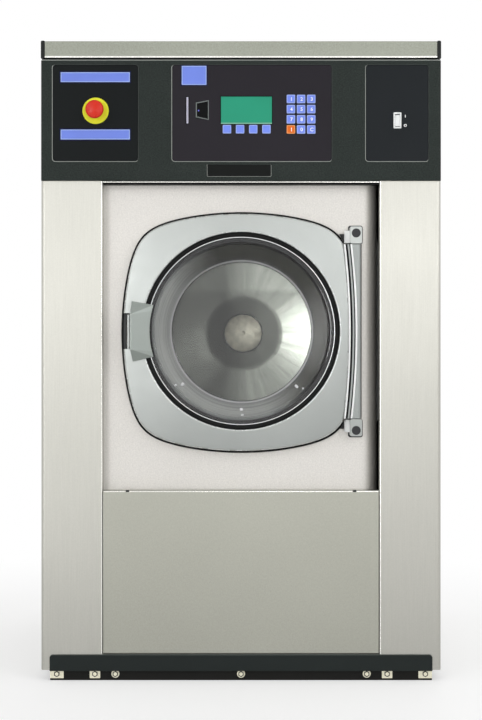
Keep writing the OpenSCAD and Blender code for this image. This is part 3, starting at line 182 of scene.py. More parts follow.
def turn(bm, profile, centre=(0, 0), axis=1, steps=round_steps):
    """A profile of radius and place, spun round an axis through a centre."""
    direction = Vector((0, 1, 0)) if axis == 1 else Vector((0, 0, 1))
    if axis == 1:
        middle = Vector((centre[0], 0, centre[1]))
    else:
        middle = Vector((centre[0], centre[1], 0))
    made, line = polyline(bm, [middle + Vector((r, 0, 0)) + direction * t for r, t in profile])
    before = set(bm.verts) - set(made)
    bmesh.ops.spin(bm, geom=made + line, cent=middle, axis=direction, dvec=(0, 0, 0),
                   angle=2 * math.pi, steps=steps, use_merge=True, use_duplicate=False)
    fresh = [v for v in bm.verts if v not in before]
    bmesh.ops.remove_doubles(bm, verts=fresh, dist=0.001)


def arc(centre, radius, start, end, count=4):
    """Points of a rounded corner in a profile, angles in degrees."""
    steps = [math.radians(start + (end - start) * i / count) for i in range(count + 1)]
    return [(centre[0] + radius * math.cos(a), centre[1] + radius * math.sin(a)) for a in steps]


def pierced(bm, x, z, holes, y, corner=0):
    """A flat plate with rectangular holes, facing forwards."""
    face = bm.faces.new([bm.verts.new((a, y[0], b)) for a, b in
                         ((x[0], z[0]), (x[1], z[0]), (x[1], z[1]), (x[0], z[1]))])
    part = [face, *face.edges, *face.verts]
    for axis, side in ((0, 0), (2, 1)):
        for cut in sorted({value for hole in holes for value in hole[side]}):
            point = [0, y[0], 0]
            normal = [0, 0, 0]
            point[axis], normal[axis] = cut, 1
            done = bmesh.ops.bisect_plane(bm, geom=part, dist=0.001, plane_co=point, plane_no=normal)
            part = list(dict.fromkeys(done["geom"]))
    gone = []
    for f in (g for g in part if isinstance(g, bmesh.types.BMFace)):
        mid = f.calc_center_median()
        if any(hx[0] < mid.x < hx[1] and hz[0] < mid.z < hz[1] for hx, hz in holes):
            gone.append(f)
    kept = [g for g in part if isinstance(g, bmesh.types.BMFace) and g not in gone]
    bmesh.ops.delete(bm, geom=gone, context="FACES")
    extruded(bm, kept, (0, y[1] - y[0], 0))
    if corner:
        edges = []
        for e in bm.edges:
            a, b = e.verts
            if near(a.co.x, b.co.x) and near(a.co.z, b.co.z) \
                    and any(near(a.co.x, v) for v in x) and any(near(a.co.z, v) for v in z):
                edges.append(e)
        bevel(bm, edges, corner, 6)


def paint(bm, index, test):
    """Gives a material index to the faces whose centre and normal pass a test."""
    bm.normal_update()
    for f in bm.faces:
        if test(f.calc_center_median(), f.normal):
            f.material_index = index


def colour_new(bm, before, index):
    """Gives a material index to the faces that weren't there before."""
    for f in bm.faces:
        if f not in before:
            f.material_index = index


def colour_faces(verts, index):
    """Gives a material index to the faces that meet some vertices."""
    for f in {f for v in verts for f in v.link_faces}:
        f.material_index = index


def carve(bm, cutters):
    """Takes closed shapes out of a closed shape, and returns the result as a new mesh."""
    def hold(shape, name):
        mesh = bpy.data.meshes.new(name)
        bmesh.ops.recalc_face_normals(shape, faces=shape.faces)
        shape.to_mesh(mesh)
        shape.free()
        return placed(name, mesh)

    target = hold(bm, "carved")
    tools = [hold(c, "cutter") for c in cutters]
    for tool in tools:
        cut = target.modifiers.new("cut", "BOOLEAN")
        cut.operation, cut.solver, cut.object = "DIFFERENCE", "EXACT", tool
    graph = bpy.context.evaluated_depsgraph_get()
    result = bpy.data.meshes.new_from_object(target.evaluated_get(graph))
    for body in [target, *tools]:
        mesh = body.data
        bpy.data.objects.remove(body)
        bpy.data.meshes.remove(mesh)
    out = bmesh.new()
    out.from_mesh(result)
    bpy.data.meshes.remove(result)
    return out


def finish(name, bm, body, materials, replaced=(), smooth=32, round_off=0, segments=2, wall=0):
    """Closes a piece: metres, normals, soft shading, wall, edge rounding, body, slot and nodes."""
    bmesh.ops.remove_doubles(bm, verts=bm.verts, dist=0.004)
    bmesh.ops.recalc_face_normals(bm, faces=bm.faces)
    bmesh.ops.scale(bm, vec=(MM, MM, MM), verts=bm.verts)
    mesh = bpy.data.meshes.new(name)
    bm.to_mesh(mesh)
    bm.free()
    obj = placed(name, mesh)
    for m in materials:
        mesh.materials.append(m)
    mesh.shade_smooth()
    mesh.set_sharp_from_angle(angle=math.radians(smooth))
    if wall:
        sheet = obj.modifiers.new("wall", "SOLIDIFY")
        sheet.thickness = wall * MM
        sheet.offset = -1
    if round_off:
        soften(obj, round_off, smooth, segments)
    normals = obj.modifiers.new("normals", "WEIGHTED_NORMAL")
    normals.keep_sharp = True
    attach(obj, body)
    if replaced:
        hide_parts(*replaced)
    return obj


def dress(node, finish_material, round_off=0.8):
    """A CAD node that stays: its finish, and its edges softened."""
    obj = nodes[node]
    obj.data.materials.clear()
    obj.data.materials.append(finish_material)
    weld = obj.modifiers.new("weld", "WELD")
    weld.merge_threshold = 0.00002
    if round_off:
        soften(obj, round_off, 35)


# Materials

def tone(red, green, blue):
    """A colour read off a screen, 0 to 255, as the shader wants it."""
    def linear(c):
        c = c / 255
        return c / 12.92 if c <= 0.04045 else ((c + 0.055) / 1.055) ** 2.4
    return (linear(red), linear(green), linear(blue), 1)


class Finish:
    """A procedural material that reads Object coordinates."""

    def __init__(self, name, colour, metallic=0.0, roughness=0.5, **sockets):
        self.material = bpy.data.materials.new(name)
        self.material.use_nodes = True
        self.nodes = self.material.node_tree.nodes
        self.links = self.material.node_tree.links
        self.shader = self.nodes["Principled BSDF"]
        self.base = colour
        self.shader.inputs["Base Color"].default_value = colour
        self.shader.inputs["Metallic"].default_value = metallic
        self.shader.inputs["Roughness"].default_value = roughness
        for socket, value in sockets.items():
            self.shader.inputs[socket.replace("_", " ")].default_value = value
        self.colour = None
        self.height = None

    def add(self, kind, **values):
        """A new node of a kind, with its own settings."""
        node = self.nodes.new(kind)
        for key, value in values.items():
            setattr(node, key, value)
        return node

    def link(self, a, b):
        self.links.new(a, b)

    def coordinates(self, stretch=(1, 1, 1), shift=(0, 0, 0), turned=(0, 0, 0)):
        """Object coordinates, stretched, shifted and turned."""
        place = self.add("ShaderNodeTexCoord").outputs["Object"]
        mapping = self.add("ShaderNodeMapping")
        self.link(place, mapping.inputs["Vector"])
        mapping.inputs["Location"].default_value = shift
        mapping.inputs["Rotation"].default_value = turned
        mapping.inputs["Scale"].default_value = stretch
        return mapping.outputs["Vector"]

    def noise(self, scale, stretch=(1, 1, 1), detail=4, rough=0.55):
        """Noise from 0 to 1, stretched for a grain."""
        texture = self.add("ShaderNodeTexNoise")
        self.link(self.coordinates(stretch), texture.inputs["Vector"])
        texture.inputs["Scale"].default_value = scale
        texture.inputs["Detail"].default_value = detail
        texture.inputs["Roughness"].default_value = rough
        return texture.outputs["Fac"]

    def range(self, value, low, high, start=0.3, end=0.7):
        """Maps a value that runs from start to end onto one from low to high."""
        node = self.add("ShaderNodeMapRange")
        self.link(value, node.inputs["Value"])
        for socket, number in (("From Min", start), ("From Max", end), ("To Min", low), ("To Max", high)):
            node.inputs[socket].default_value = number
        return node.outputs["Result"]

    def blend(self, kind):
        """A colour mix on top of the colour so far, which it becomes."""
        node = self.add("ShaderNodeMix", data_type="RGBA", blend_type=kind)
        if self.colour is None:
            node.inputs[6].default_value = self.base
        else:
            self.link(self.colour, node.inputs[6])
        self.colour = node.outputs[2]
        return node

    def shade(self, value, dark, light):
        """Varies the colour between a darker and a lighter share of itself."""
        grey = self.add("ShaderNodeCombineColor")
        share = self.range(value, dark, light)
        for channel in ("Red", "Green", "Blue"):
            self.link(share, grey.inputs[channel])
        node = self.blend("MULTIPLY")
        node.inputs["Factor"].default_value = 1
        self.link(grey.outputs["Color"], node.inputs[7])
        return self

    def mix(self, value, colour):
        """Mixes another colour in by a value from 0 to 1."""
        node = self.blend("MIX")
        self.link(value, node.inputs["Factor"])
        node.inputs[7].default_value = colour
        return self

    def dulled(self, foot, top, low=-0.625, high=1.625):
        """Paints shade by height, in metres, between a share at the foot and one above."""
        return self.shade(self.range(self.along((0, 0, 1)), 0, 1, low, high), foot, top)

    def along(self, direction, shift=(0, 0, 0)):
        """How far a point lies along a direction, in metres."""
        reach = self.add("ShaderNodeVectorMath", operation="DOT_PRODUCT")
        self.link(self.coordinates(shift=shift), reach.inputs[0])
        reach.inputs[1].default_value = direction
        return reach.outputs["Value"]

    def calculate(self, operation, *values):
        """A sum on one or two values, which may be numbers."""
        node = self.add("ShaderNodeMath", operation=operation)
        for socket, value in zip(node.inputs, values):
            if isinstance(value, (int, float)):
                socket.default_value = value
            else:
                self.link(value, socket)
        return node.outputs[0]

    def gloss(self, value, low, high):
        """Varies the roughness between two values."""
        self.link(self.range(value, low, high), self.shader.inputs["Roughness"])
        return self

    def bump(self, value, distance, strength=0.3):
        """Raises the surface by a value; the distance is in millimetres."""
        node = self.add("ShaderNodeBump")
        node.inputs["Strength"].default_value = strength
        node.inputs["Distance"].default_value = distance * MM
        self.link(value, node.inputs["Height"])
        if self.height is not None:
            self.link(self.height, node.inputs["Normal"])
        self.height = node.outputs["Normal"]
        return self

    def done(self):
        """Links what was mixed to the shader, and returns the material."""
        if self.colour is not None:
            self.link(self.colour, self.shader.inputs["Base Color"])
        if self.height is not None:
            self.link(self.height, self.shader.inputs["Normal"])
        return self.material


def brushed(name, colour, grain=(1, 1, 0.02), rough=(0.3, 0.42), sparkle=0.04, metallic=0.8, dulled=None):
    """Sheet steel with a satin grain, slow colour drift and fine sparkle, and painted shade by height when asked."""
    m = Finish(name, colour, metallic=metallic)
    if dulled:
        m.dulled(*dulled)
    lines = m.noise(520, grain, detail=3)
    drift = m.noise(2.2, detail=2)
    speck = m.noise(330, detail=3, rough=0.8)
    m.shade(lines, 0.97, 1.03).shade(drift, 0.96, 1.03).shade(speck, 1 - sparkle, 1 + sparkle)
    m.gloss(m.noise(480, grain, detail=3), *rough)
    m.bump(lines, 0.05, 0.1).bump(speck, 0.04, 0.1)
    return m.done()


def moulded(name, colour, rough=(0.42, 0.58), shine=0.5, grain=900, depth=0.12, speckle=0.1, metallic=0.0,
            dulled=None):
    """Grained plastic or paint, with painted shade by height when asked."""
    m = Finish(name, colour, metallic=metallic, Specular_IOR_Level=shine)
    if dulled:
        m.dulled(*dulled)
    fine = m.noise(grain, detail=3, rough=0.6)
    drift = m.noise(6, detail=3)
    m.shade(fine, 1 - speckle, 1 + speckle).shade(drift, 0.94, 1.06)
    m.gloss(m.noise(35, detail=5), *rough)
    m.bump(fine, depth, 0.35)
    return m.done()


def make_materials():
    """Every finish by its name. The tables give colour and looks in the order of the makers."""
    m = {}
    for name, colour, *look in (
            # The last entry of stainless and of cover_steel is painted shade, darker towards the foot
            ("stainless", (204, 203, 195), (1, 1, 0.02), (0.34, 0.42), 0.04, 0.85, (0.7, 0.93)),
            ("fold_painted_highlight", (246, 246, 240), (1, 1, 0.02), (0.2, 0.28), 0.02),
            ("recess_steel", (216, 213, 208), (1, 1, 0.4), (0.46, 0.56), 0.1, 0.55),
            ("cover_steel", (184, 184, 173), (1, 1, 0.5), (0.46, 0.54), 0.06, 0.68, (0.78, 1.0)),
            ("lid_steel", (162, 165, 153), (1, 1, 1), (0.5, 0.6), 0.2, 0.5),
            ("galvanised", (188, 190, 188), (1, 1, 0.6), (0.36, 0.55), 0.08),
            ("reader_metal", (206, 204, 222), (1, 1, 0.1), (0.25, 0.35)),
            ("louvre_painted_shade", (116, 118, 117), (1, 1, 0.6), (0.5, 0.65), 0.06),
            ("zinc", (232, 228, 206), (1, 1, 1), (0.28, 0.45), 0.1),
            ("polished", (236, 238, 238), (1, 1, 1), (0.14, 0.22), 0.01, 1.0),
            ("clamp_metal", (196, 198, 196), (1, 1, 1), (0.2, 0.34)),
            ("tub_steel", (186, 188, 186), (1, 0.05, 1), (0.3, 0.44)),
            ("bolt_steel", (198, 200, 198), (1, 1, 0.1), (0.2, 0.3)),
            ("spring_steel", (120, 124, 124), (1, 1, 1)),
            ("shaft_steel", (180, 183, 181), (1, 1, 1), (0.2, 0.32)),
            ("pulley_metal", (140, 144, 145), (1, 1, 1), (0.28, 0.4)),
            ("brass", (196, 172, 104), (1, 0.1, 1), (0.22, 0.36))):
        m[name] = brushed(name, tone(*colour), *look)
    for name, colour, *look in (
            ("console", (39, 46, 43), (0.5, 0.64), 0.18, 380, 0.3, 0.5),
            ("console_rim_painted_highlight", (56, 62, 59), (0.4, 0.5), 0.3, 800, 0.05),
            ("console_lit_rim_painted_highlight", (170, 175, 169), (0.4, 0.5), 0.4, 800, 0.05),
            ("badge_rim_painted_highlight", (186, 190, 184), (0.3, 0.4), 0.5, 800, 0.03, 0.05),
            ("trim_plastic", (20, 24, 23), (0.35, 0.5), 0.25),
            ("left_film", (14, 19, 20), (0.34, 0.46), 0.12, 1400, 0.03, 0.08),
            ("mid_film", (38, 35, 41), (0.34, 0.46), 0.14, 1400, 0.03, 0.06),
            ("right_film", (30, 34, 37), (0.34, 0.46), 0.12, 1400, 0.03, 0.08),
            ("badge_place", (12, 15, 14), (0.34, 0.45), 0.12),
            ("print_blue", (124, 148, 244), (0.32, 0.4), 0.3, 1200, 0.01, 0.03),
            ("print_pale", (176, 200, 255), (0.32, 0.4), 0.3, 1200, 0.01, 0.03),
            ("print_navy", (18, 18, 68), (0.32, 0.4), 0.1, 1200, 0.01, 0.03),
            ("print_white", (255, 255, 255), (0.35, 0.45), 0.5, 1200, 0.01, 0.02),
            ("key_blue", (127, 152, 255), (0.3, 0.4), 0.3, 900, 0.03, 0.05),
            ("key_rim_painted_highlight", (166, 186, 255), (0.3, 0.4), 0.3, 900, 0.03, 0.04),
            ("key_orange", (240, 112, 20), (0.3, 0.4), 0.3, 900, 0.03, 0.05),
            ("key_orange_rim_painted_highlight", (250, 160, 90), (0.3, 0.4), 0.5, 900, 0.03, 0.04),
            ("reader_grey", (116, 124, 122), (0.35, 0.5)),
            ("port_black", (6, 8, 9), (0.4, 0.6), 0.1),
            ("lamp_blue", (120, 120, 245), (0.2, 0.3), 0.5, 900, 0.01, 0.02),
            ("stop_yellow", (250, 254, 60), (0.3, 0.42), 0.2, 900, 0.04, 0.04),
            ("stop_red", (228, 44, 20), (0.25, 0.36), 0.35, 900, 0.03, 0.05),
            ("stop_dark", (40, 38, 36), (0.35, 0.5), 0.2),
            ("switch_white", (250, 252, 251), (0.25, 0.38), 0.5, 900, 0.02, 0.02),
            ("black_paint", (22, 22, 20), (0.4, 0.6), 0.15, 500, 0.1, 0.15),
            ("plinth_black", (34, 40, 39), (0.34, 0.5), 0.15, 700, 0.08, 0.14),
            ("plinth_painted_highlight", (112, 118, 112), (0.34, 0.5), 0.5, 700, 0.04, 0.08),
            # The last entry of door_silver is painted shade, darker towards the bottom of the door
            ("door_silver", (188, 192, 189), (0.34, 0.42), 0.4, 1100, 0.03, 0.05, 0.5, (0.76, 1.0, 0.2, 1.3)),
            ("silver_painted_highlight", (226, 229, 227), (0.24, 0.32), 0.5, 1100, 0.01, 0.03, 0.6),
            ("lcd_painted_highlight", (140, 200, 172), (0.3, 0.4), 0.2, 900, 0.01, 0.03),
            ("edge_painted_highlight", (250, 251, 250), (0.3, 0.4), 0.5, 900, 0.01, 0.03, 0.1),
            ("cavity_painted_shade", (72, 74, 74), (0.4, 0.5), 0.3),
            ("handle_silver", (168, 175, 170), (0.4, 0.5), 0.4, 1100, 0.03, 0.05, 0.35),
            ("hinge_metal", (158, 162, 160), (0.34, 0.44), 0.4, 1100, 0.03, 0.05, 0.5),
            ("cap_black_and_painted_shade", (58, 58, 60), (0.4, 0.5), 0.2),
            ("rubber", (14, 15, 15), (0.5, 0.68), 0.15, 300, 0.1, 0.15),
            ("boot_rubber", (150, 147, 141), (0.42, 0.6), 0.5, 260, 0.15),
            ("lock_black", (30, 30, 31), (0.4, 0.55)),
            ("damper_black", (34, 37, 36), (0.3, 0.5)),
            ("cradle_paint", (60, 63, 62), (0.4, 0.56), 0.5, 500, 0.12, 0.12),
            ("housing_iron", (82, 87, 85), (0.45, 0.6), 0.5, 240, 0.4, 0.14),
            ("motor_paint", (94, 106, 112), (0.36, 0.5), 0.5, 500, 0.1),
            ("belt_rubber", (22, 22, 22), (0.55, 0.7)),
            ("valve_plastic", (214, 216, 214), (0.35, 0.5)),
            ("drain_plastic", (60, 60, 63), (0.38, 0.54)),
            ("box_paint", (164, 168, 166), (0.36, 0.5), 0.5, 700, 0.08, 0.06),
            ("board_green", (44, 96, 58), (0.3, 0.45))):
        m[name] = moulded(name, tone(*colour), *look)
    m["hub_steel"] = hub_steel()
    m["lcd"] = lcd_glass()
    m["glass"] = bowl_glass("glass", 1.0, 0.02)
    m["glass_painted_glint"] = bowl_glass("glass_painted_glint", 0.3, 0.2)
    m["glass_neck"] = ringed_glass()
    m["drum_steel"] = drum_steel()
    m["drum_back"] = spun_steel()
    return m


# From Object coordinates to ones that start at the height of the door's axis
to_axis = (0, 0, -door_z * MM)
hole_pitch = 0.018


def lcd_glass():
    """The display: a green film with a faint cell grid."""
    m = Finish("lcd", tone(40, 160, 126), roughness=0.3, Specular_IOR_Level=0.25)
    m.shade(m.noise(9, detail=2), 0.96, 1.06)
    cells = m.add("ShaderNodeTexBrick")
    m.link(m.coordinates(turned=(math.pi / 2, 0, 0)), cells.inputs["Vector"])
    cells.inputs["Scale"].default_value = 900
    cells.inputs["Color1"].default_value = (1, 1, 1, 1)
    cells.inputs["Color2"].default_value = (0.97, 0.97, 0.97, 1)
    cells.inputs["Mortar"].default_value = (0.93, 0.93, 0.93, 1)
    cells.offset = 0
    m.shade(cells.outputs["Fac"], 1.0, 0.97)
    return m.done()


def bowl_glass(name, clear, rough):
    """Pressed glass: clear, or milky and paler as a painted glint."""
    m = Finish(name, tone(245, 245, 247), roughness=rough, Transmission_Weight=clear, IOR=1.45)
    m.shade(m.noise(14, detail=2), 0.985, 1.0)
    return m.done()


def ringed_glass():
    """The bowl's neck: pressed glass with fine rings, painted lighter at the lower left and darker at the upper right
    as light and shade.
    """
    m = Finish("glass_neck", tone(240, 243, 241), roughness=0.12, Transmission_Weight=0.42, IOR=1.45)
    rings = m.noise(110, (0.01, 1, 0.01), detail=5, rough=0.7)
    # Painted light and shade: lighter to the lower left, darker to the upper right
    m.shade(m.range(m.along((-0.8, 0, -0.6), to_axis), 0, 1, -0.16, 0.16), 0.1, 1.3)
    m.shade(rings, 0.5, 1.2).bump(rings, 1.2, 0.5)
    return m.done()


def hub_steel():
    """The hub's cover: sand-coloured stain clouds on bright sheet."""
    m = Finish("hub_steel", tone(196, 194, 174), metallic=0.92)
    m.shade(m.noise(60, detail=5, rough=0.65), 0.74, 1.12).shade(m.noise(500, detail=2), 0.96, 1.04)
    m.gloss(m.noise(80, detail=4), 0.3, 0.42)
    m.bump(m.noise(90, detail=4), 0.15, 0.2)
    return m.done()


def polar(m):
    """The angle round the door's axis, in radians, the distance from it and the depth, in metres."""
    parts = m.add("ShaderNodeSeparateXYZ")
    m.link(m.coordinates(shift=to_axis), parts.inputs["Vector"])
    angle = m.calculate("ARCTAN2", parts.outputs["Z"], parts.outputs["X"])
    flat = m.add("ShaderNodeCombineXYZ")
    m.link(parts.outputs["X"], flat.inputs["X"])
    m.link(parts.outputs["Z"], flat.inputs["Z"])
    reach = m.add("ShaderNodeVectorMath", operation="LENGTH")
    m.link(flat.outputs["Vector"], reach.inputs[0])
    return angle, reach.outputs["Value"], parts.outputs["Y"]


def streaks(m):
    """Brushing lines that fan out from the door's axis."""
    flat = m.add("ShaderNodeVectorMath", operation="MULTIPLY")
    m.link(m.coordinates(shift=to_axis), flat.inputs[0])
    flat.inputs[1].default_value = (1, 0, 1)
    aim = m.add("ShaderNodeVectorMath", operation="NORMALIZE")
    m.link(flat.outputs["Vector"], aim.inputs[0])
    texture = m.add("ShaderNodeTexNoise")
    m.link(aim.outputs["Vector"], texture.inputs["Vector"])
    texture.inputs["Scale"].default_value = 5
    texture.inputs["Detail"].default_value = 5
    texture.inputs["Roughness"].default_value = 0.6
    return texture.outputs["Fac"]


def punched(m, across, along):
    """Rows of staggered round holes: 1 inside a hole, 0 on the sheet."""
    waves = [m.calculate("COSINE", m.calculate("MULTIPLY", value, factor)) for value, factor in (across, along)]
    return m.range(m.calculate("MULTIPLY", *waves), 0, 1, 0.5, 0.62)


def spun_steel():
    """The drum's back: spun rings, radial streaks and a punched band outside the dish, with painted shade towards the
    hub and on the left, and a painted reflection brighter on the right and at the top.
    """
    m = Finish("drum_back", tone(142, 146, 136), metallic=1.0, Anisotropic=0.5, Anisotropic_Rotation=0.25)
    angle, reach, _ = polar(m)
    across = m.add("ShaderNodeCombineXYZ")
    m.link(reach, across.inputs["X"])
    rings = m.add("ShaderNodeTexNoise")
    m.link(across.outputs["Vector"], rings.inputs["Vector"])
    rings.inputs["Scale"].default_value = 260
    rings.inputs["Detail"].default_value = 2
    m.shade(rings.outputs["Fac"], 0.98, 1.02).shade(streaks(m), 0.7, 1.2)
    # Painted shade, darker towards the hub
    m.shade(m.range(reach, 0, 1, 0.08, 0.11), 0.45, 1.3)
    # Painted reflection, darker on the left and brighter on the right
    m.shade(m.range(m.along((1, 0, 0)), 0, 1, -0.12, 0.12), 0.3, 1.2)
    # Painted reflection, brighter towards the top
    m.shade(m.range(m.along((0, 0, 1)), 0, 1, 0.86, 0.9), 1.0, 1.45)
    band = m.range(reach, 0, 1, 0.194, 0.196)
    holes = m.calculate("MULTIPLY", punched(m, (angle, 84), (reach, 2 * math.pi / hole_pitch)), band)
    m.mix(holes, tone(16, 17, 16))
    m.gloss(m.noise(8, detail=2), 0.19, 0.23)
    tangent = m.add("ShaderNodeTangent", direction_type="RADIAL", axis="Y")
    m.link(tangent.outputs["Tangent"], m.shader.inputs["Tangent"])
    return m.done()


def drum_steel():
    """The drum's wall: bright sheet with rows of punched holes."""
    m = Finish("drum_steel", tone(196, 198, 194), metallic=0.9)
    angle, _, depth = polar(m)
    holes = punched(m, (angle, 115), (depth, 2 * math.pi / hole_pitch))
    m.shade(m.noise(40, detail=4), 0.93, 1.05).mix(holes, tone(24, 25, 24))
    m.gloss(m.noise(60, detail=3), 0.26, 0.38)
    return m.done()


# Pieces of the casing

def side_panel(side, m):
    """A folded sheet: column front, side and rear edge, with the console's place cut out."""
    name = "left_side_panel" if side < 0 else "right_side_panel"
    bm = bmesh.new()
    corners = [(column_x, y_panel), (column_x, y_front), (half_w, y_front), (half_w, y_back), (half_w - 25, y_back)]
    folded_sheet(bm, [(a, b, foot_top) for a, b in corners], (0, 0, casing_top - foot_top))
    for point, normal in (((0, 0, console_z[0]), (0, 0, 1)), ((0, y_console_end, 0), (0, 1, 0))):
        bmesh.ops.bisect_plane(bm, geom=[*bm.verts, *bm.edges, *bm.faces], dist=0.001,
                               plane_co=point, plane_no=normal)
    gone = [f for f in bm.faces if f.calc_center_median().z > console_z[0]
            and f.calc_center_median().y < y_console_end]
    bmesh.ops.delete(bm, geom=gone, context="FACES")
    edge = [e for e in bm.edges if lies_at(e, 1, y_console_end) and lies_at(e, 0, half_w)
            and all(v.co.z > console_z[0] - 0.1 for v in e.verts)]
    pushed(bm, bmesh.ops.extrude_edge_only(bm, edges=edge), (-25, 0, 0))
    upright = edges_along(list(bm.verts), 2)
    bevel(bm, [e for e in upright if lies_at(e, 0, column_x) and lies_at(e, 1, y_front)], 2.5, 4)
    bevel(bm, [e for e in upright if e.is_valid
               and all(near(v.co.x, half_w) and not near(v.co.y, y_console_end) for v in e.verts)], 8, 6)
    bmesh.ops.recalc_face_normals(bm, faces=bm.faces)
    if side < 0:
        bmesh.ops.scale(bm, vec=(-1, 1, 1), verts=bm.verts)
        bmesh.ops.reverse_faces(bm, faces=bm.faces)
    # The column's inner fold is polished and painted paler as a highlight
    paint(bm, 1, lambda c, n: abs(c.x) < column_x + 2.6 and c.y < y_front + 2.6)
    finish(name, bm, "cabinet", [m["stainless"], m["fold_painted_highlight"]], (name,), wall=1.5)


def rear_panel(m):
    """The back: a flat sheet with hooded louvres, the hoods painted darker as shade, and its screws."""
    bm = bmesh.new()
    y = (467, 468.5)
    louvres = [((-90, 90), (320 + 14 * i, 326 + 14 * i)) for i in range(10)]
    pierced(bm, (-438, 438), (foot_top, casing_top), louvres, y)
    before = set(bm.faces)
    for (x0, x1), (z0, z1) in louvres:
        outline = [(0, z1 + 3), (5, z0 + 1), (5, z0 - 0.4), (4, z0 - 0.4), (0, z1 + 1)]
        hood = prism(bm, [(y[1] + out, z) for out, z in outline], x0 - 2, x1 + 2, axis=0)
        bevel(bm, edges_along(hood, 0), 0.4, 1)
    # The hoods are painted darker than the sheet, as shade against the light on their upward faces
    colour_new(bm, before, 1)
    finish("rear_panel", bm, "cabinet", [m["galvanised"], m["louvre_painted_shade"]],
           ("rear_panel",), round_off=0.3)
    bm = bmesh.new()
    spots = [(x, z) for x in (-428, 428) for z in (60, 280, 500, 720, 940, 1160, 1350)]
    spots += [(x, 1358) for x in (-250, 0, 250)]
    for x, z in spots:
        turn(bm, [(0, 471.2), (3, 470.9), (4.4, 469.8), (5, 468.5), (0, 468.5)], (x, z), steps=16)
        block(bm, (x - 2.6, x + 2.6), (470.9, 471.3), (z - 0.5, z + 0.5))
    finish("rear_screws", bm, "cabinet", [m["bolt_steel"]])


def lid(m):
    """The lid: a folded tray with a hemmed lower edge in front, between two end trims."""
    bm = bmesh.new()
    x = half_w - 9
    sheet = 1.5
    profile = [(y_back, casing_top), (y_back, lid_top), (y_front - 4, lid_top), (y_front - 4, lid_z)]
    folded_sheet(bm, [(-x, a, b) for a, b in profile], (2 * x, 0, 0))
    bevel(bm, [e for e in edges_along(list(bm.verts), 0) if lies_at(e, 2, lid_top)], 2.5, 4)
    bmesh.ops.recalc_face_normals(bm, faces=bm.faces)
    bmesh.ops.solidify(bm, geom=bm.faces[:], thickness=sheet)
    # The hem is polished and painted paler as a highlight
    before = set(bm.faces)
    hem = block(bm, (-x, x), (y_front - 5.4, y_front - 2.6), (lid_z - 1.8, lid_z + 2.2))
    bevel(bm, edges_along(hem, 0), 0.5, 2)
    colour_new(bm, before, 1)
    finish("lid", bm, "cabinet", [m["lid_steel"], m["fold_painted_highlight"]], ("lid",))
    bm = bmesh.new()
    for side in (-1, 1):
        ends = sorted((side * (half_w - 9), side * half_w))
        verts = block(bm, ends, (y_front - 4.5, y_back), (casing_top, lid_top + 1))
        bevel(bm, [e for e in edges_along(verts, 1) if lies_at(e, 2, lid_top + 1)], 2.8, 5)
        front = [e for e in sharp_edges(bm) if lies_at(e, 1, y_front - 4.5) and side * e.verts[0].co.x > 0]
        bevel(bm, front, 0.8, 2)
    finish("lid_end_trims", bm, "cabinet", [m["trim_plastic"]], ("lid_end_trims",))


def door_panel(m):
    """The recessed panel: a sheet round the door's opening, rolled back at its right edge."""
    bm = bmesh.new()
    steps = 144
    opening, outside = [], []
    bend, bend_depth, sheet, panel_foot = 36, 46, 1.5, 380
    left, right, z0, z1 = -330, column_x - 1 - bend, panel_foot - door_z, console_z[0] - door_z
    for radius, keep in ((214, opening), (1, outside)):
        ring = bmesh.ops.create_circle(bm, cap_ends=False, radius=radius, segments=steps)["verts"]
        for v in ring:
            a = math.atan2(v.co.y, v.co.x)
            if keep is outside:
                reach = min((right if math.cos(a) > 0 else -left) / max(abs(math.cos(a)), 1e-6),
                            (z1 if math.sin(a) > 0 else -z0) / max(abs(math.sin(a)), 1e-6))
                v.co = Vector((reach * math.cos(a), y_panel, door_z + reach * math.sin(a)))
            else:
                v.co = Vector((v.co.x, y_panel, door_z + v.co.y))
        keep.extend({e for v in ring for e in v.link_edges})
    for x, z in ((left, z0), (right, z0), (right, z1), (left, z1)):
        corner = Vector((x, y_panel, door_z + z))
        verts = {v for e in outside for v in e.verts}
        min(verts, key=lambda v: (v.co - corner).length).co = corner
    faces = bmesh.ops.bridge_loops(bm, edges=opening + outside)["faces"]
    extruded(bm, faces, (0, sheet, 0))
    block(bm, (left, left + sheet), (y_panel + sheet, -415), (panel_foot, console_z[0]))

    def roll_line(inset):
        return [(right + (bend - inset) * math.sin(t), y_panel + bend_depth - (bend_depth - inset) * math.cos(t))
                for t in (math.radians(9 * i) for i in range(11))]

    prism(bm, roll_line(0) + roll_line(sheet)[::-1], panel_foot, console_z[0], axis=2)
    # The flange under the console is polished and painted paler as a highlight
    before = set(bm.faces)
    flange = block(bm, (-column_x + 0.5, column_x - 0.5), (y_front + 1.5, y_panel),
                   (console_z[0] - 3.4, console_z[0] - 0.6))
    bevel(bm, edges_along(flange, 0), 0.5, 2)
    colour_new(bm, before, 1)
    # A dark rubber strip below the flange is painted shade in the gap under it
    before = set(bm.faces)
    block(bm, (-column_x + 1, column_x - 1), (y_front + 6, y_panel - 0.4), (console_z[0] - 7, console_z[0] - 3.6))
    colour_new(bm, before, 2)
    finish("door_panel", bm, "cabinet", [m["recess_steel"], m["fold_painted_highlight"], m["rubber"]],
           ("door_panel",))


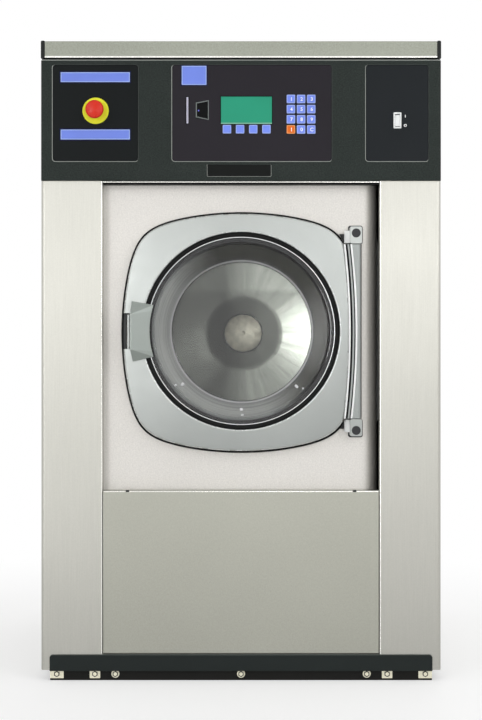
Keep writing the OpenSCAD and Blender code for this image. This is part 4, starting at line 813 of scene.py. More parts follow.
def lower_cover(m):
    """The access cover: a folded tray with a rounded top fold painted paler as a highlight, and two black blocks
    painted as the shade in its hook notches.
    """
    bm = bmesh.new()
    w = column_x - 1.5
    low, high = cover_z
    profile = [(y_front + 15, low), (y_front, low), (y_front, high), (-430.75, high)]
    folded_sheet(bm, [(-w, a, b) for a, b in profile], (2 * w, 0, 0))
    for side in (-1, 1):
        bm.faces.new([bm.verts.new((side * w, a, b)) for a, b in
                      ((y_front, low), (y_front + 15, low), (y_front + 15, high), (y_front, high))])
    bmesh.ops.remove_doubles(bm, verts=bm.verts, dist=0.01)
    bevel(bm, [e for e in bm.edges if lies_at(e, 1, y_front)], 2.2, 4)
    bmesh.ops.recalc_face_normals(bm, faces=bm.faces)
    # The top fold is polished and painted paler as a highlight
    paint(bm, 1, lambda c, n: c.z > high - 2.3 and c.y < y_front + 2.3)
    finish("lower_cover", bm, "cabinet", [m["cover_steel"], m["fold_painted_highlight"]],
           ("lower_cover",), wall=1.5)
    # Black blocks at the lip's two notches are painted shade
    bm = bmesh.new()
    for side in (-1, 1):
        clip = block(bm, (side * 250 - 4, side * 250 + 4), (y_front - 0.4, y_front + 6), (high - 2.4, high + 1.6))
        bevel(bm, edges_along(clip, 1), 0.8, 2)
    finish("notch_painted_shade", bm, "cabinet", [m["trim_plastic"]])


def plinth(m):
    """The plinth plate with its rounded top corners, and the bolts below it on washers and plates."""
    bm = bmesh.new()
    verts = block(bm, (-foot_x, foot_x), (y_front - 3, y_front), (22, cover_z[0] - 1.5))
    top = [e for e in edges_along(verts, 1) if all(v.co.z > 50 for v in e.verts)]
    bevel(bm, top, 7, 8)
    bevel(bm, [e for e in sharp_edges(bm) if lies_at(e, 1, y_front - 3)], 0.9, 3)
    # The top edge's faces that face up are painted lighter as a highlight
    paint(bm, 1, lambda c, n: n.z > 0.1 and c.y < y_front - 2)
    finish("plinth_plate", bm, "cabinet", [m["plinth_black"], m["plinth_painted_highlight"]], ("plinth_plate",))
    bm = bmesh.new()
    y = y_front + 8
    bolt_z = 14.3
    places = (-277, 0, 277, -406, -322, 322, 406)
    for x in places:
        if abs(x) < 300:
            turn(bm, [(0, y), (9, y), (9, y - 0.9), (8.4, y - 1.5), (0, y - 1.5)], (x, bolt_z), steps=32)
        else:
            w = 15 if abs(x) > 400 else 11.5
            plate = block(bm, (x - w, x + w), (y - 1.5, y), (4.5, 21.8))
            bevel(bm, edges_along(plate, 1), 0.9, 2)
        place = Matrix.Translation((x, y - 1.5, bolt_z)) @ Matrix.Rotation(math.pi / 2, 4, "X")
        head = bmesh.ops.create_circle(bm, cap_ends=True, radius=6.5, segments=6, matrix=place)
        faces = [f for f in head["verts"][0].link_faces if len(f.verts) == 6]
        tip = extruded(bm, faces, (0, -4, 0))[0]
        cap = [f for f in tip.link_faces if len(f.verts) == 6]
        bmesh.ops.inset_region(bm, faces=cap, thickness=1.4)
        bmesh.ops.inset_region(bm, faces=cap, thickness=0.5, depth=-1.4)
    # The sides and outer ring of each bolt head are painted dark as shade
    paint(bm, 1, lambda c, n: c.y < y - 1.6
          and 3.9 < min(math.hypot(c.x - x, c.z - bolt_z) for x in places) < 6.7)
    finish("base_bolts", bm, "cabinet", [m["zinc"], m["cap_black_and_painted_shade"]], ("base_bolts",), round_off=0.25)


# Console and controls

def console_housing(m):
    """The moulded console: three pockets with chamfered rims painted lighter as highlights, and a bare badge place.
    """
    bm = bmesh.new()
    z0, z1 = console_z
    pockets = [(-413.8, -226.2), (-151.3, 199.3), (274.2, 411.8)]
    tall = (insert_z - insert_h / 2 - 0.3, insert_z + insert_h / 2 + 0.3)
    badge = ((-74, 66), (1109.5, 1135.5))
    block(bm, (-half_w, half_w), (y_console, y_console_end), (z0, z1))
    cuts = sorted({v for p in pockets for v in p} | set(badge[0]))
    levels = sorted({*tall, *badge[1]})
    for axis, values in ((0, cuts), (2, levels)):
        for value in values:
            point, normal = [0, 0, 0], [0, 0, 0]
            point[axis], normal[axis] = value, 1
            front = [f for f in bm.faces if lies_at(f, 1, y_console)]
            part = [*front, *{e for f in front for e in f.edges}, *{v for f in front for v in f.verts}]
            bmesh.ops.bisect_plane(bm, geom=part, dist=0.001, plane_co=point, plane_no=normal)

    def front_within(x, z):
        return [f for f in bm.faces if lies_at(f, 1, y_console)
                and x[0] < f.calc_center_median().x < x[1] and z[0] < f.calc_center_median().z < z[1]]

    def sink(x, z, depth, corner, rim):
        bmesh.ops.dissolve_faces(bm, faces=front_within(x, z))
        chosen = front_within(x, z)
        floor = extruded(bm, chosen, (0, depth, 0))
        bmesh.ops.delete(bm, geom=[f for f in chosen if f.is_valid], context="FACES")
        deep = [e for v in floor for e in v.link_edges
                if near(e.verts[0].co.x, e.verts[1].co.x) and near(e.verts[0].co.z, e.verts[1].co.z)
                and any(near(v.co.x, s) for s in x) and any(near(v.co.z, s) for s in z)]
        bevel(bm, set(deep), corner, 6)
        around = [e for e in sharp_edges(bm, 60) if lies_at(e, 1, y_console)
                  and all(x[0] - 1 < v.co.x < x[1] + 1 and z[0] - 1 < v.co.z < z[1] + 1 for v in e.verts)]
        bevel(bm, around, rim, 2)

    for x in pockets:
        sink(x, tall, y_pocket - y_console, 6, 1.3)
    sink(*badge, 1.6, 2, 1)
    outer = [e for e in edges_along(list(bm.verts), 2)
             if all(near(abs(v.co.x), half_w) and near(v.co.y, y_console) for v in e.verts)]
    bevel(bm, outer, 8, 8)
    back = [f for f in bm.faces if lies_at(f, 1, y_console_end)]
    bmesh.ops.inset_region(bm, faces=back, thickness=3)
    extruded(bm, back, (0, y_front - y_console_end, 0))
    bmesh.ops.delete(bm, geom=[f for f in back if f.is_valid], context="FACES")
    ends = [e for e in sharp_edges(bm, 50) if any(lies_at(e, 2, s) for s in console_z)
            and all(v.co.y < y_console_end - 0.5 for v in e.verts)]
    bevel(bm, ends, 2, 3)

    def on_rim(c):
        return y_console + 0.02 < c.y < y_console + 1.32

    # The pocket rims are painted lighter as highlights, palest on the sides that face right and up, where light falls
    paint(bm, 1, lambda c, n: on_rim(c) and abs(c.x) < 430 and z0 + 3 < c.z < z1 - 3)
    paint(bm, 2, lambda c, n: on_rim(c) and abs(c.x) < 430 and z0 + 3 < c.z < z1 - 3
          and (n.x > 0.3 or n.z > 0.3))
    # The top edge is painted pale as a highlight
    paint(bm, 2, lambda c, n: c.z > z1 - 2.1 and n.y < -0.2)
    # The badge's rim is painted pale as a highlight, except along its top
    paint(bm, 3, lambda c, n: on_rim(c) and badge[0][0] - 2 < c.x < badge[0][1] + 2
          and badge[1][0] - 2 < c.z < badge[1][1] - 1)
    paint(bm, 4, lambda c, n: abs(c.x) > half_w - 2.2 and c.y < y_console + 9)
    finish("console_housing", bm, "cabinet",
           [m["console"], m["console_rim_painted_highlight"], m["console_lit_rim_painted_highlight"], m["badge_rim_painted_highlight"], m["trim_plastic"]],
           ("console_housing",))
    bm = bmesh.new()
    plate = block(bm, (badge[0][0] + 0.6, badge[0][1] - 0.6), (y_console + 0.8, y_console + 1.7),
                  (badge[1][0] + 0.6, badge[1][1] - 0.6))
    bevel(bm, edges_along(plate, 1), 1.6, 4)
    finish("badge_plate", bm, "cabinet", [m["badge_place"]], round_off=0.3)


# Where each key sits, and what is printed on it
key_rows = [["key_start", "key_0", "key_clear"], ["key_7", "key_8", "key_9"],
            ["key_4", "key_5", "key_6"], ["key_1", "key_2", "key_3"]]
marks = {"key_start": "I", "key_clear": "C", **{f"key_{n}": str(n) for n in range(10)}}
key_middle = {f"soft_key_{i + 1}": (12.5 + (i - 1.5) * 28.9, 1213.1) for i in range(4)}
for row, names in enumerate(key_rows):
    for column, key_name in enumerate(names):
        key_middle[key_name] = (132 + (column - 1) * 22.3, 1246 + (row - 1.5) * 22.3)


def console_inserts(m):
    """The three printed inserts with their cut-outs, blue bars and field."""
    bm = bmesh.new()
    y = (y_overlay, y_pocket)
    tall = (insert_z - insert_h / 2, insert_z + insert_h / 2)
    switch = ((337.2 - 0.3, 350.2 + 0.3), (1217.3 - 0.3, 1247.3 + 0.3))
    holes = [((a - 9.6, a + 9.6), (b - 9.6, b + 9.6)) for a, b in key_middle.values()]
    holes += [((-44.5, 68.5), (1224.4, 1285.4)), ((-121, -114.4), (1225.7, 1283.7)), ((-98.6, -71.4), (1236, 1274))]
    pierced(bm, (-413.5, -226.5), tall, [((-331, -308), (1242, 1265))], y, 6)
    for index, across, cuts in ((1, (-151, 199), holes), (2, (274.5, 411.5), [switch])):
        part = bmesh.new()
        pierced(part, across, tall, cuts, y, 6)
        colour_new(part, (), index)
        held = bpy.data.meshes.new("held")
        part.to_mesh(held)
        part.free()
        bm.from_mesh(held)
        bpy.data.meshes.remove(held)
    finish("console_inserts", bm, "cabinet",
           [m["left_film"], m["mid_film"], m["right_film"]], ("console_inserts",), round_off=0.25)

    bm = bmesh.new()
    for x, z in (((-396.2, -244.2), (1316.7, 1338.3)), ((-396.2, -244.2), (1190.6, 1212.4)),
                 ((-130.2, -75.9), (1310.5, 1352.4))):
        for grow, rise, index in ((2.3, 0.12, 0), (0, 0.24, 1), (-1.7, 0.36, 2)):
            verts = block(bm, (x[0] - grow, x[1] + grow), (y_overlay - rise, y_overlay),
                          (z[0] - grow, z[1] + grow))
            colour_faces(verts, index)
            bevel(bm, edges_along(verts, 1), 0.8, 3)
    finish("printed_fields", bm, "cabinet",
           [m["print_navy"], m["print_pale"], m["print_blue"]])


def mark_mesh(text, size):
    """A digit or letter, flat on its back and centred."""
    curve = bpy.data.curves.new("mark", "FONT")
    curve.body = text
    curve.size = size
    curve.align_x = "CENTER"
    curve.align_y = "CENTER"
    curve.extrude = 0.1
    curve.offset = 0.32
    curve.resolution_u = 4
    holder = placed("mark", curve)
    mesh = bpy.data.meshes.new_from_object(holder)
    bpy.data.objects.remove(holder)
    bpy.data.curves.remove(curve)
    return mesh


def put_mark(bm, text, size, at, index):
    """Adds a digit or letter to a piece, at x, y, z."""
    mesh = mark_mesh(text, size)
    mesh.transform(Matrix.Translation(at) @ Matrix.Rotation(math.pi / 2, 4, "X"))
    before = set(bm.faces)
    bm.from_mesh(mesh)
    colour_new(bm, before, index)
    bpy.data.meshes.remove(mesh)


def key(name, m):
    """One key: a cap with a rim painted paler as a highlight and a pillowed face, its flange and its stem."""
    x, z = key_middle[name]
    start = name == "key_start"
    bm = bmesh.new()
    cap = block(bm, (x - 9.3, x + 9.3), (y_overlay - 1.5, y_pocket + 0.3), (z - 9.3, z + 9.3))
    bevel(bm, edges_along(cap, 1), 2, 4)
    front = [f for f in bm.faces if lies_at(f, 1, y_overlay - 1.5)]
    # The rim is painted paler as a highlight; the face keeps the key's own colour
    colour_new(bm, (), 1)
    bmesh.ops.inset_region(bm, faces=front, thickness=0.7, depth=0.0)
    bmesh.ops.inset_region(bm, faces=front, thickness=1.2, depth=-0.25)
    for f in front:
        f.material_index = 0
    block(bm, (x - 10.5, x + 10.5), (y_pocket + 0.3, y_pocket + 1.5), (z - 10.5, z + 10.5))
    block(bm, (x - 3, x + 3), (y_pocket + 1.4, -449.3), (z - 3, z + 3))
    if name in marks:
        put_mark(bm, marks[name], 11, (x + 1.2, y_overlay - 1.3, z - 0.6), 2)
    face, rim = ("key_orange", "key_orange_rim_painted_highlight") if start else ("key_blue", "key_rim_painted_highlight")
    finish(name + "_cap", bm, body_of(name), [m[face], m[rim], m["print_white"]], (name,), round_off=0.25)


def body_of(node):
    """The body that a CAD node rides on."""
    for body, members in frame["record"]["behaviour"]["bodies"].items():
        if node in members:
            return body
    return "cabinet"


def display(m):
    """The display's window, its bezel and the module behind it."""
    bm = bmesh.new()
    block(bm, (-44.2, 68.2), (y_overlay + 0.5, y_pocket + 0.3), (1224.7, 1285.1))
    block(bm, (-50, 74), (y_pocket + 0.3, y_module_back), (1224.1, 1291.4))
    paint(bm, 1, lambda c, n: c.y > y_pocket + 0.25)
    finish("display_window", bm, "cabinet", [m["lcd"], m["port_black"]],
           ("display_module",), round_off=0.4)
    bm = bmesh.new()
    pierced(bm, (-45.6, 69.6), (1223.3, 1286.5), [((-44.0, 68.0), (1224.9, 1284.9))], (y_overlay - 0.25, y_overlay))
    # A pale strip along the window's lower edge is a painted highlight
    before = set(bm.faces)
    block(bm, (-44, 68), (y_overlay - 0.2, y_overlay + 0.6), (1224.9, 1227.3))
    colour_new(bm, before, 1)
    finish("display_frame", bm, "cabinet", [m["port_black"], m["lcd_painted_highlight"]])


def card_reader(m):
    """The card slot's metal nose, and the service port in its grey frame."""
    bm = bmesh.new()
    x, z = -117.7, 1254.7
    pierced(bm, (x - 1.9, x + 1.9), (z - 28.7, z + 28.7), [((x - 0.3, x + 0.3), (z - 27, z + 27))],
            (y_overlay - 0.8, -450))
    block(bm, (x - 12, x + 10), (y_pocket + 0.3, y_module_back), (z - 36, z + 36))
    paint(bm, 1, lambda c, n: c.y > y_pocket + 0.2 and not x - 3.1 < c.x < x + 3.1)
    # A black plate round the slot's nose is painted shadow
    before = set(bm.faces)
    block(bm, (x - 3.9, x + 3.9), (y_overlay - 0.2, y_overlay + 0.2), (z - 30.6, z + 30.6))
    colour_new(bm, before, 2)

    px, pz = -85, 1255.1
    before = set(bm.faces)
    port = prism(bm, [(px - 14.2, pz - 15.6), (px + 14.2, pz - 21.6), (px + 14.2, pz + 21.6), (px - 14.2, pz + 16.6)],
                 y_overlay - 0.6, y_pocket + 0.3)
    front = [f for f in {f for v in port for f in v.link_faces} if lies_at(f, 1, y_overlay - 0.6)]
    bmesh.ops.recalc_face_normals(bm, faces=bm.faces)
    bmesh.ops.inset_region(bm, faces=front, thickness=2.6, depth=0)
    bmesh.ops.inset_region(bm, faces=front, thickness=0.05, depth=-1.7)
    colour_new(bm, before, 1)
    for f in front:
        f.material_index = 2
    lamp = block(bm, (px - 9.6, px - 6.8), (y_overlay, y_overlay + 1), (pz - 2.4, pz + 0.6))
    colour_faces(lamp, 3)
    finish("card_and_port", bm, "cabinet",
           [m["reader_metal"], m["reader_grey"], m["port_black"], m["lamp_blue"]], ("card_reader",), round_off=0.25)


def stop_button(m):
    """The stop button: yellow collar with its contact block, dark stem and red mushroom head."""
    x, z = -319.4, 1253.5
    y0 = y_overlay
    contacts = (-436, -410)
    bm = bmesh.new()
    turn(bm, [(6.1, y0), (6.1, y0 - 1.2), (15, y0 - 1.2), (16, y0 - 1.9), (27, y0 - 2)]
         + arc((27.6, y0 - 0.6), 1.4, -90, 0, 4) + [(29, y0), (6.1, y0)], (x, z))
    turn(bm, [(6.1, y0 - 0.01), (11, y0 - 0.01), (11, contacts[0]), (6.1, contacts[0])], (x, z))
    block(bm, (x - 18, x + 18), contacts, (z - 22, z + 22))
    finish("stop_collar", bm, "cabinet", [m["stop_yellow"]], ("estop_collar",))
    bm = bmesh.new()
    turn(bm, [(0, -492), (6, -492), (6, -430), (0, -430)], (x, z), steps=48)
    finish("stop_shaft", bm, body_of("estop_stem"), [m["stop_dark"]], ("estop_stem",))
    bm = bmesh.new()
    turn(bm, [(6.1, -474.3), (14, -474.3), (15, -475.3), (15, -482.5), (18.6, -484.6)]
         + arc((14.5, -489.9), 5.5, 20, -75, 7) + [(9, -497.2), (4, -497.8), (0, -498)], (x, z))
    turn(bm, [(6.1, -474.3), (6.1, -490)], (x, z))
    finish("stop_head", bm, body_of("estop_head"), [m["stop_red"]], ("estop_head",))


def power_switch(m):
    """The rocker switch in its white frame, with the marks printed beside it."""
    x, z = 343.7, 1232.3
    bm = bmesh.new()
    pierced(bm, (x - 8.7, x + 8.7), (z - 17.7, z + 17.7), [((x - 5.5, x + 5.5), (z - 14, z + 14))],
            (y_overlay - 3, y_overlay), 2)
    bevel(bm, [e for e in sharp_edges(bm) if lies_at(e, 1, y_overlay - 3)], 0.8, 3)
    pierced(bm, (x - 6.5, x + 6.5), (z - 15, z + 15), [((x - 5.5, x + 5.5), (z - 14, z + 14))],
            (y_overlay, -446))
    finish("switch_frame", bm, "cabinet", [m["switch_white"]], ("switch_bezel",))
    bm = bmesh.new()
    outline = [(-464.5, 12.4), (-468, 11.8), (-467, 0), (-469, -11.8), (-464.5, -12.4), (-458.5, -5), (-458.5, 5)]
    rocker = prism(bm, outline, x - 5, x + 5, axis=0)
    bmesh.ops.translate(bm, vec=(0, 0, z), verts=rocker)
    bmesh.ops.rotate(bm, cent=(x, -462, z), matrix=Matrix.Rotation(math.radians(7), 3, "X"), verts=rocker)
    finish("switch_rocker_cap", bm, body_of("switch_rocker"), [m["switch_white"]],
           ("switch_rocker",), round_off=0.5)
    bm = bmesh.new()
    put_mark(bm, "I", 8, (361, y_overlay - 0.1, 1241.5), 0)
    put_mark(bm, "O", 8, (361, y_overlay - 0.1, 1221), 0)
    finish("switch_marks", bm, "cabinet", [m["print_white"]])


# Door

def outline_reach(angle):
    """Distance of the frame's outline from the door's middle: bowed sides, round corners,
    and the flatter bow of the hinge side."""
    c, s = abs(math.cos(angle)), abs(math.sin(angle))

    def side(reach, radius, along, across):
        centre = reach - radius
        return centre * along + math.sqrt(radius ** 2 - (centre * across) ** 2)
    top = side(door_half + 1.5, side_arc_r, s, c)
    flank = side(door_half, side_arc_r, c, s)
    square = (top ** -corner_power + flank ** -corner_power) ** (-1 / corner_power)
    bow = side(bow_x, bow_r, math.cos(angle), s)
    return min(square, bow) if math.cos(angle) > 0 else square


def from_axis(c):
    """Distance of a point from the axis of the door and the drum."""
    return math.hypot(c.x, c.z - door_z)


def rim_gap(c):
    """Distance of a point inside the frame's outline."""
    z = c.z - door_z + outline_drop
    return outline_reach(math.atan2(z, c.x)) - math.hypot(c.x, z)


def dome_y(x, z):
    """Depth of the door frame's domed face, at a place measured from the door's middle."""
    return y_crown + dome_r - math.sqrt(dome_r ** 2 - x * x - z * z)


def door_loop(bm, share, grow, y, circle=225, steps=192):
    """A loop between a circle (share 0) and the frame's outline (share 1); y may be a depth
    or a distance behind the domed face."""
    ring = bmesh.ops.create_circle(bm, cap_ends=False, radius=1, segments=steps)["verts"]
    for v in ring:
        a = math.atan2(v.co.y, v.co.x)
        reach = circle + (outline_reach(a) - circle) * share + grow
        px, pz = reach * math.cos(a), reach * math.sin(a) - outline_drop * share
        depth = y if y < -100 else dome_y(px, pz) + y
        v.co = Vector((px, depth, door_z + pz))
    return list({e for v in ring for e in v.link_edges})


def bridged(bm, loops, closed=False):
    """A skin from each loop to the next, and from the last to the first if closed."""
    pairs = list(zip(loops, loops[1:]))
    if closed:
        pairs.append((loops[-1], loops[0]))
    for a, b in pairs:
        bmesh.ops.bridge_loops(bm, edges=a + b)


def door_frame(m):
    """The cast door frame: a domed square ring, hollowed where the handle sits, with painted highlights on its lip
    and outer edge and painted shade in the hollow.
    """
    bm = bmesh.new()
    loops = [door_loop(bm, 0, grow, y) for grow, y in ((1, y_door), (1, y_seal), (-8, y_seal))]
    for a in (0, 22, 45, 68, 90):
        t = math.radians(a)
        loops.append(door_loop(bm, 0, -4 - 4 * math.cos(t), 4 - 4 * math.sin(t)))
    loops += [door_loop(bm, 0.35, 0, 0), door_loop(bm, 0.7, 0, 0)]
    for a in (90, 60, 30, 0):
        t = math.radians(a)
        loops.append(door_loop(bm, 1, -4 + 4 * math.cos(t), 4 - 4 * math.sin(t)))
    loops.append(door_loop(bm, 1, 0, y_door))
    bridged(bm, loops, closed=True)
    notch = bmesh.new()
    verts = block(notch, (-door_half - 4, -243), (-520, -449), (730, 809))
    bevel(notch, edges_along(verts, 1), 3, 3)
    slot = bmesh.new()
    block(slot, (-254, -226), (-520, -420), (735, 793))
    bm = carve(bm, [notch, slot])
    colour_new(bm, (), 0)
    # The inner lip and the outer edge are painted paler as highlights
    paint(bm, 1, lambda c, n: from_axis(c) < 219.4 and c.y < -455)
    paint(bm, 1, lambda c, n: c.y < -440 and n.y < -0.05 and rim_gap(c) < 1.9)
    # The handle's hollow is painted dark as shade
    paint(bm, 2, lambda c, n: c.x < -225 and 729 < c.z < 810 and c.y > -462 and c.y < -419)
    finish("door_frame_cast", bm, "door",
           [m["door_silver"], m["silver_painted_highlight"], m["cavity_painted_shade"]], ("door_frame",), smooth=38)


def hinge_side(m):
    """The bar on the frame's hinge side, and bowed strips beside it: pale ones painted as highlights on rounded
    edges, dark ones painted as shade in the gaps.
    """
    bm = bmesh.new()
    bar = prism(bm, [(228, -438), (228, -460), (238, -463), (258, -463.5), (263.5, -460.5), (264.4, -452),
                     (262.6, -441.4), (252, -437)], *bar_z, axis=2)
    bevel(bm, edges_along(bar, 2), 1.6, 3)
    finish("hinge_bar", bm, "door", [m["hinge_metal"]], round_off=0.8)
    bm = bmesh.new()
    steps, half_length = 32, 191.5
    levels = [sum(bar_z) / 2 + (2 * i / steps - 1) * half_length for i in range(steps + 1)]
    bow = [(bow_x - bow_r + math.sqrt(bow_r ** 2 - (z - door_z + outline_drop) ** 2), z) for z in levels]
    # Pale strips are painted highlights; the dark rubber strips are painted shade
    for inner, outer, front, index in ((0.4, 4, -467, 1), (4, 8.5, -464, 2), (8.5, 12.3, -466, 0),
                                       (12.3, 14.8, -464, 2), (14.8, 18.8, -466.4, 1)):
        before = set(bm.faces)
        strip = prism(bm, [(x + outer, z) for x, z in bow] + [(x + inner, z) for x, z in bow[::-1]], front, -455)
        bevel(bm, [e for e in {e for v in strip for e in v.link_edges} if lies_at(e, 1, front)], 0.5, 2)
        colour_new(bm, before, index)
    # A dark strip along the bar's right edge is painted shadow
    before = set(bm.faces)
    block(bm, (262.9, 265.4), (-456, -446), bar_z)
    colour_new(bm, before, 2)
    finish("hinge_rib", bm, "door", [m["hinge_metal"], m["edge_painted_highlight"], m["rubber"]])


def hinge_blocks(m):
    """Two cast blocks with their pins and black screw caps, on dark seats painted as shade, with a pale ear each
    painted as a highlight.
    """
    bm = bmesh.new()
    for z0, z1, cap_z in ((961.8, 999.5, 985), (538.5, 576.2, 551.5)):
        foot = block(bm, (239.5, 266), (-468, y_panel), (z0, z1))
        bevel(bm, edges_along(foot, 1), 4, 5)
        inner = z1 - 1 if z0 < 700 else z0 - 39
        turn(bm, [(0, inner), (6, inner), (6, inner + 40), (0, inner + 40)], (hinge_x, hinge_y), axis=2, steps=32)
        before = set(bm.faces)
        turn(bm, [(0, -468.9), (9, -468.9), (10, -468.2), (10, -467), (0, -467)], (253, cap_z), steps=40)
        upper = z0 > 700
        # The seat and the wedge are dark plates painted as the shade round and beside the block
        seat = block(bm, (237, 269.6), (y_panel - 3, y_panel),
                     (z0 + 1, z1 + 4) if upper else (z0 - 4, z1 - 1))
        bevel(bm, edges_along(seat, 1), 5, 5)
        corner, reach = (z0 + 2, 21) if upper else (z1 - 2, -21)
        prism(bm, [(229, corner), (229, corner + reach), (217.5, corner + reach)], y_panel - 6, y_panel)
        colour_new(bm, before, 1)
        # The ear is painted pale as a highlight
        before = set(bm.faces)
        ear = prism(bm, [(228, -447), (240, -456), (240, y_panel), (228, y_panel)],
                    min(corner, corner + reach * 1.3), max(corner, corner + reach * 1.3), axis=2)
        bevel(bm, edges_along(ear, 2), 1.5, 2)
        colour_new(bm, before, 2)
    finish("hinge_castings", bm, "cabinet",
           [m["door_silver"], m["cap_black_and_painted_shade"], m["edge_painted_highlight"]], ("hinge_blocks",), round_off=0.8)


def door_seals(m):
    """The rubber round the glass, the face seal and the black trim round the frame."""
    bm = bmesh.new()
    turn(bm, [(207.6, -458.3), (207.6, -464), (209, -465.6), (213, -466.4), (217, -464), (217, -436), (198.5, -436),
              (198.5, -449.7), (206, -449.7), (206, -458.3), (207.6, -458.3)], (0, door_z), steps=144)
    turn(bm, [(220, y_door), (220, -430.4), (224.5, -430.4), (224.5, y_door), (220, y_door)], (0, door_z))
    loops = [door_loop(bm, 1, grow, y)
             for grow, y in ((0.2, -440), (4.6, -440), (6, -438.6), (6, -431), (0.2, -431))]
    bridged(bm, loops, closed=True)
    gone = [v for v in bm.verts if v.co.x > 228 and from_axis(v.co) > 228]
    bmesh.ops.delete(bm, geom=gone, context="VERTS")
    bmesh.ops.holes_fill(bm, edges=[e for e in bm.edges if e.is_boundary], sides=8)
    finish("door_rubber", bm, "door", [m["rubber"]], ("door_seals",), smooth=50)
    bm = bmesh.new()
    turn(bm, [(204.4, -458.4), (204.4, -463.4), (205.2, -464.4), (206.6, -464.4), (207.4, -463.4), (207.4, -458.4),
              (204.4, -458.4)], (0, door_z), steps=144)
    finish("glass_rim_bead", bm, "door", [m["polished"]], smooth=50)


def door_glass(m):
    """The pressed glass bowl with its rim, neck and domed bottom, its clamp ring, and milky lugs painted as glints.
    """
    bm = bmesh.new()
    outer = ([(205.7, -458), (205.7, -450), (197, -450)] + arc((160, -297), 12, 15, 80, 5)
             + [(120, -283.6), (60, -281.6), (0, -281)])
    inner = ([(0, -288), (60, -288.6), (120, -290.6)] + arc((158, -299), 7, 80, 10, 4)
             + [(191, -450), (191, -456), (193, -458)])
    turn(bm, outer + inner + [(205.7, -458)], (0, door_z), steps=144)
    paint(bm, 2, lambda c, n: -448 < c.y < -300)
    # A ring at the bottom's corner is painted milky and paler as a glint
    paint(bm, 1, lambda c, n: 160.3 < from_axis(c) < 164.6 and -304 < c.y < -291)
    finish("glass_bowl", bm, "door", [m["glass"], m["glass_painted_glint"], m["glass_neck"]],
           ("door_glass",), smooth=50)
    bm = bmesh.new()
    turn(bm, [(201, y_seal), (201, -432.6), (203, y_door), (225.5, y_door), (225.5, y_seal), (201, y_seal)],
         (0, door_z), steps=144)
    finish("clamp_ring", bm, "door", [m["clamp_metal"]], ("glass_clamp_ring",), round_off=0.4)
    # Small milky lugs round the neck are painted glints
    bm = bmesh.new()
    for angle, reach, across in (
            (-90, (169, 176), (-3, 4)), (-90, (182, 187), (0, 6)), (-45, (168, 177), (-3, 3)),
            (-43, (184, 188), (-2, 3)), (-138, (170, 178), (-2, 4)), (-140, (184, 190), (-3, 1))):
        lug = block(bm, reach, (-463, -447), across)
        spot = Matrix.Translation((0, 0, door_z)) @ Matrix.Rotation(math.radians(-angle), 4, "Y")
        bmesh.ops.transform(bm, matrix=spot, verts=lug)
    finish("painted_glint_lugs", bm, "door", [m["glass_painted_glint"]], round_off=2, segments=4)


def door_handle(m):
    """The handle: a faceted hood with a rolled lip, hollow behind, with the hook on its arm."""
    def hood(inset, opened):
        shape = bmesh.new()
        left = -241 - opened
        points = [(x, -505 + inset, z) for x in (left, -238) for z in (729 + inset, 806.5 - inset)]
        top, bottom = 835 - inset, 702.5 + inset
        foot = [(left + 1.4, top), (-192, top - 8), (-186, top - 20), (-186, bottom + 22),
                (-192, bottom + 11), (left + 4.3, bottom)]
        for y in (-473.5 + inset, -472.5 + (2 if opened else 0)):
            points += [(a, y, b) for a, b in foot]
        verts = [shape.verts.new(p) for p in points]
        hull = bmesh.ops.convex_hull(shape, input=verts)
        inside = [g for g in hull["geom_interior"] if isinstance(g, bmesh.types.BMVert)]
        bmesh.ops.delete(shape, geom=inside, context="VERTS")
        bmesh.ops.dissolve_limit(shape, angle_limit=math.radians(1), verts=shape.verts, edges=shape.edges)
        return shape

    outer = hood(0, 0)
    front = [e for e in sharp_edges(outer, 5) if all(v.co.y < -473 for v in e.verts)]
    bevel(outer, front, 1.3, 3)
    scoop = bmesh.new()
    turn(scoop, [(0, -506), (200, -506), (200, -463), (0, -463), (0, -506)], (0, door_z), steps=144)
    bm = carve(outer, [hood(4, 6), scoop])
    finish("handle_hood", bm, "handle", [m["handle_silver"]], ("door_handle",), smooth=25)
    bm = bmesh.new()
    # The lip is painted paler than the hood as a highlight
    before = set(bm.faces)
    lip = block(bm, (-247, -242), (-503.5, -497), (730.5, 805))
    bevel(bm, edges_along(lip, 2), 1.8, 4)
    colour_new(bm, before, 1)
    for x, y in (((-234, -228.3), (-499, -405)), ((-229, -222), (-412, -405)), ((-229, -208), (-477, -473.7))):
        block(bm, x, y, (738, 790))
    sleeve = [(2.55, 734.5), (4.7, 734.5), (4.7, 805.5), (2.55, 805.5), (2.55, 734.5)]
    turn(bm, sleeve, (-208, -475.2), axis=2, steps=24)
    finish("handle_arm", bm, "handle", [m["handle_silver"], m["door_silver"]], round_off=0.8)


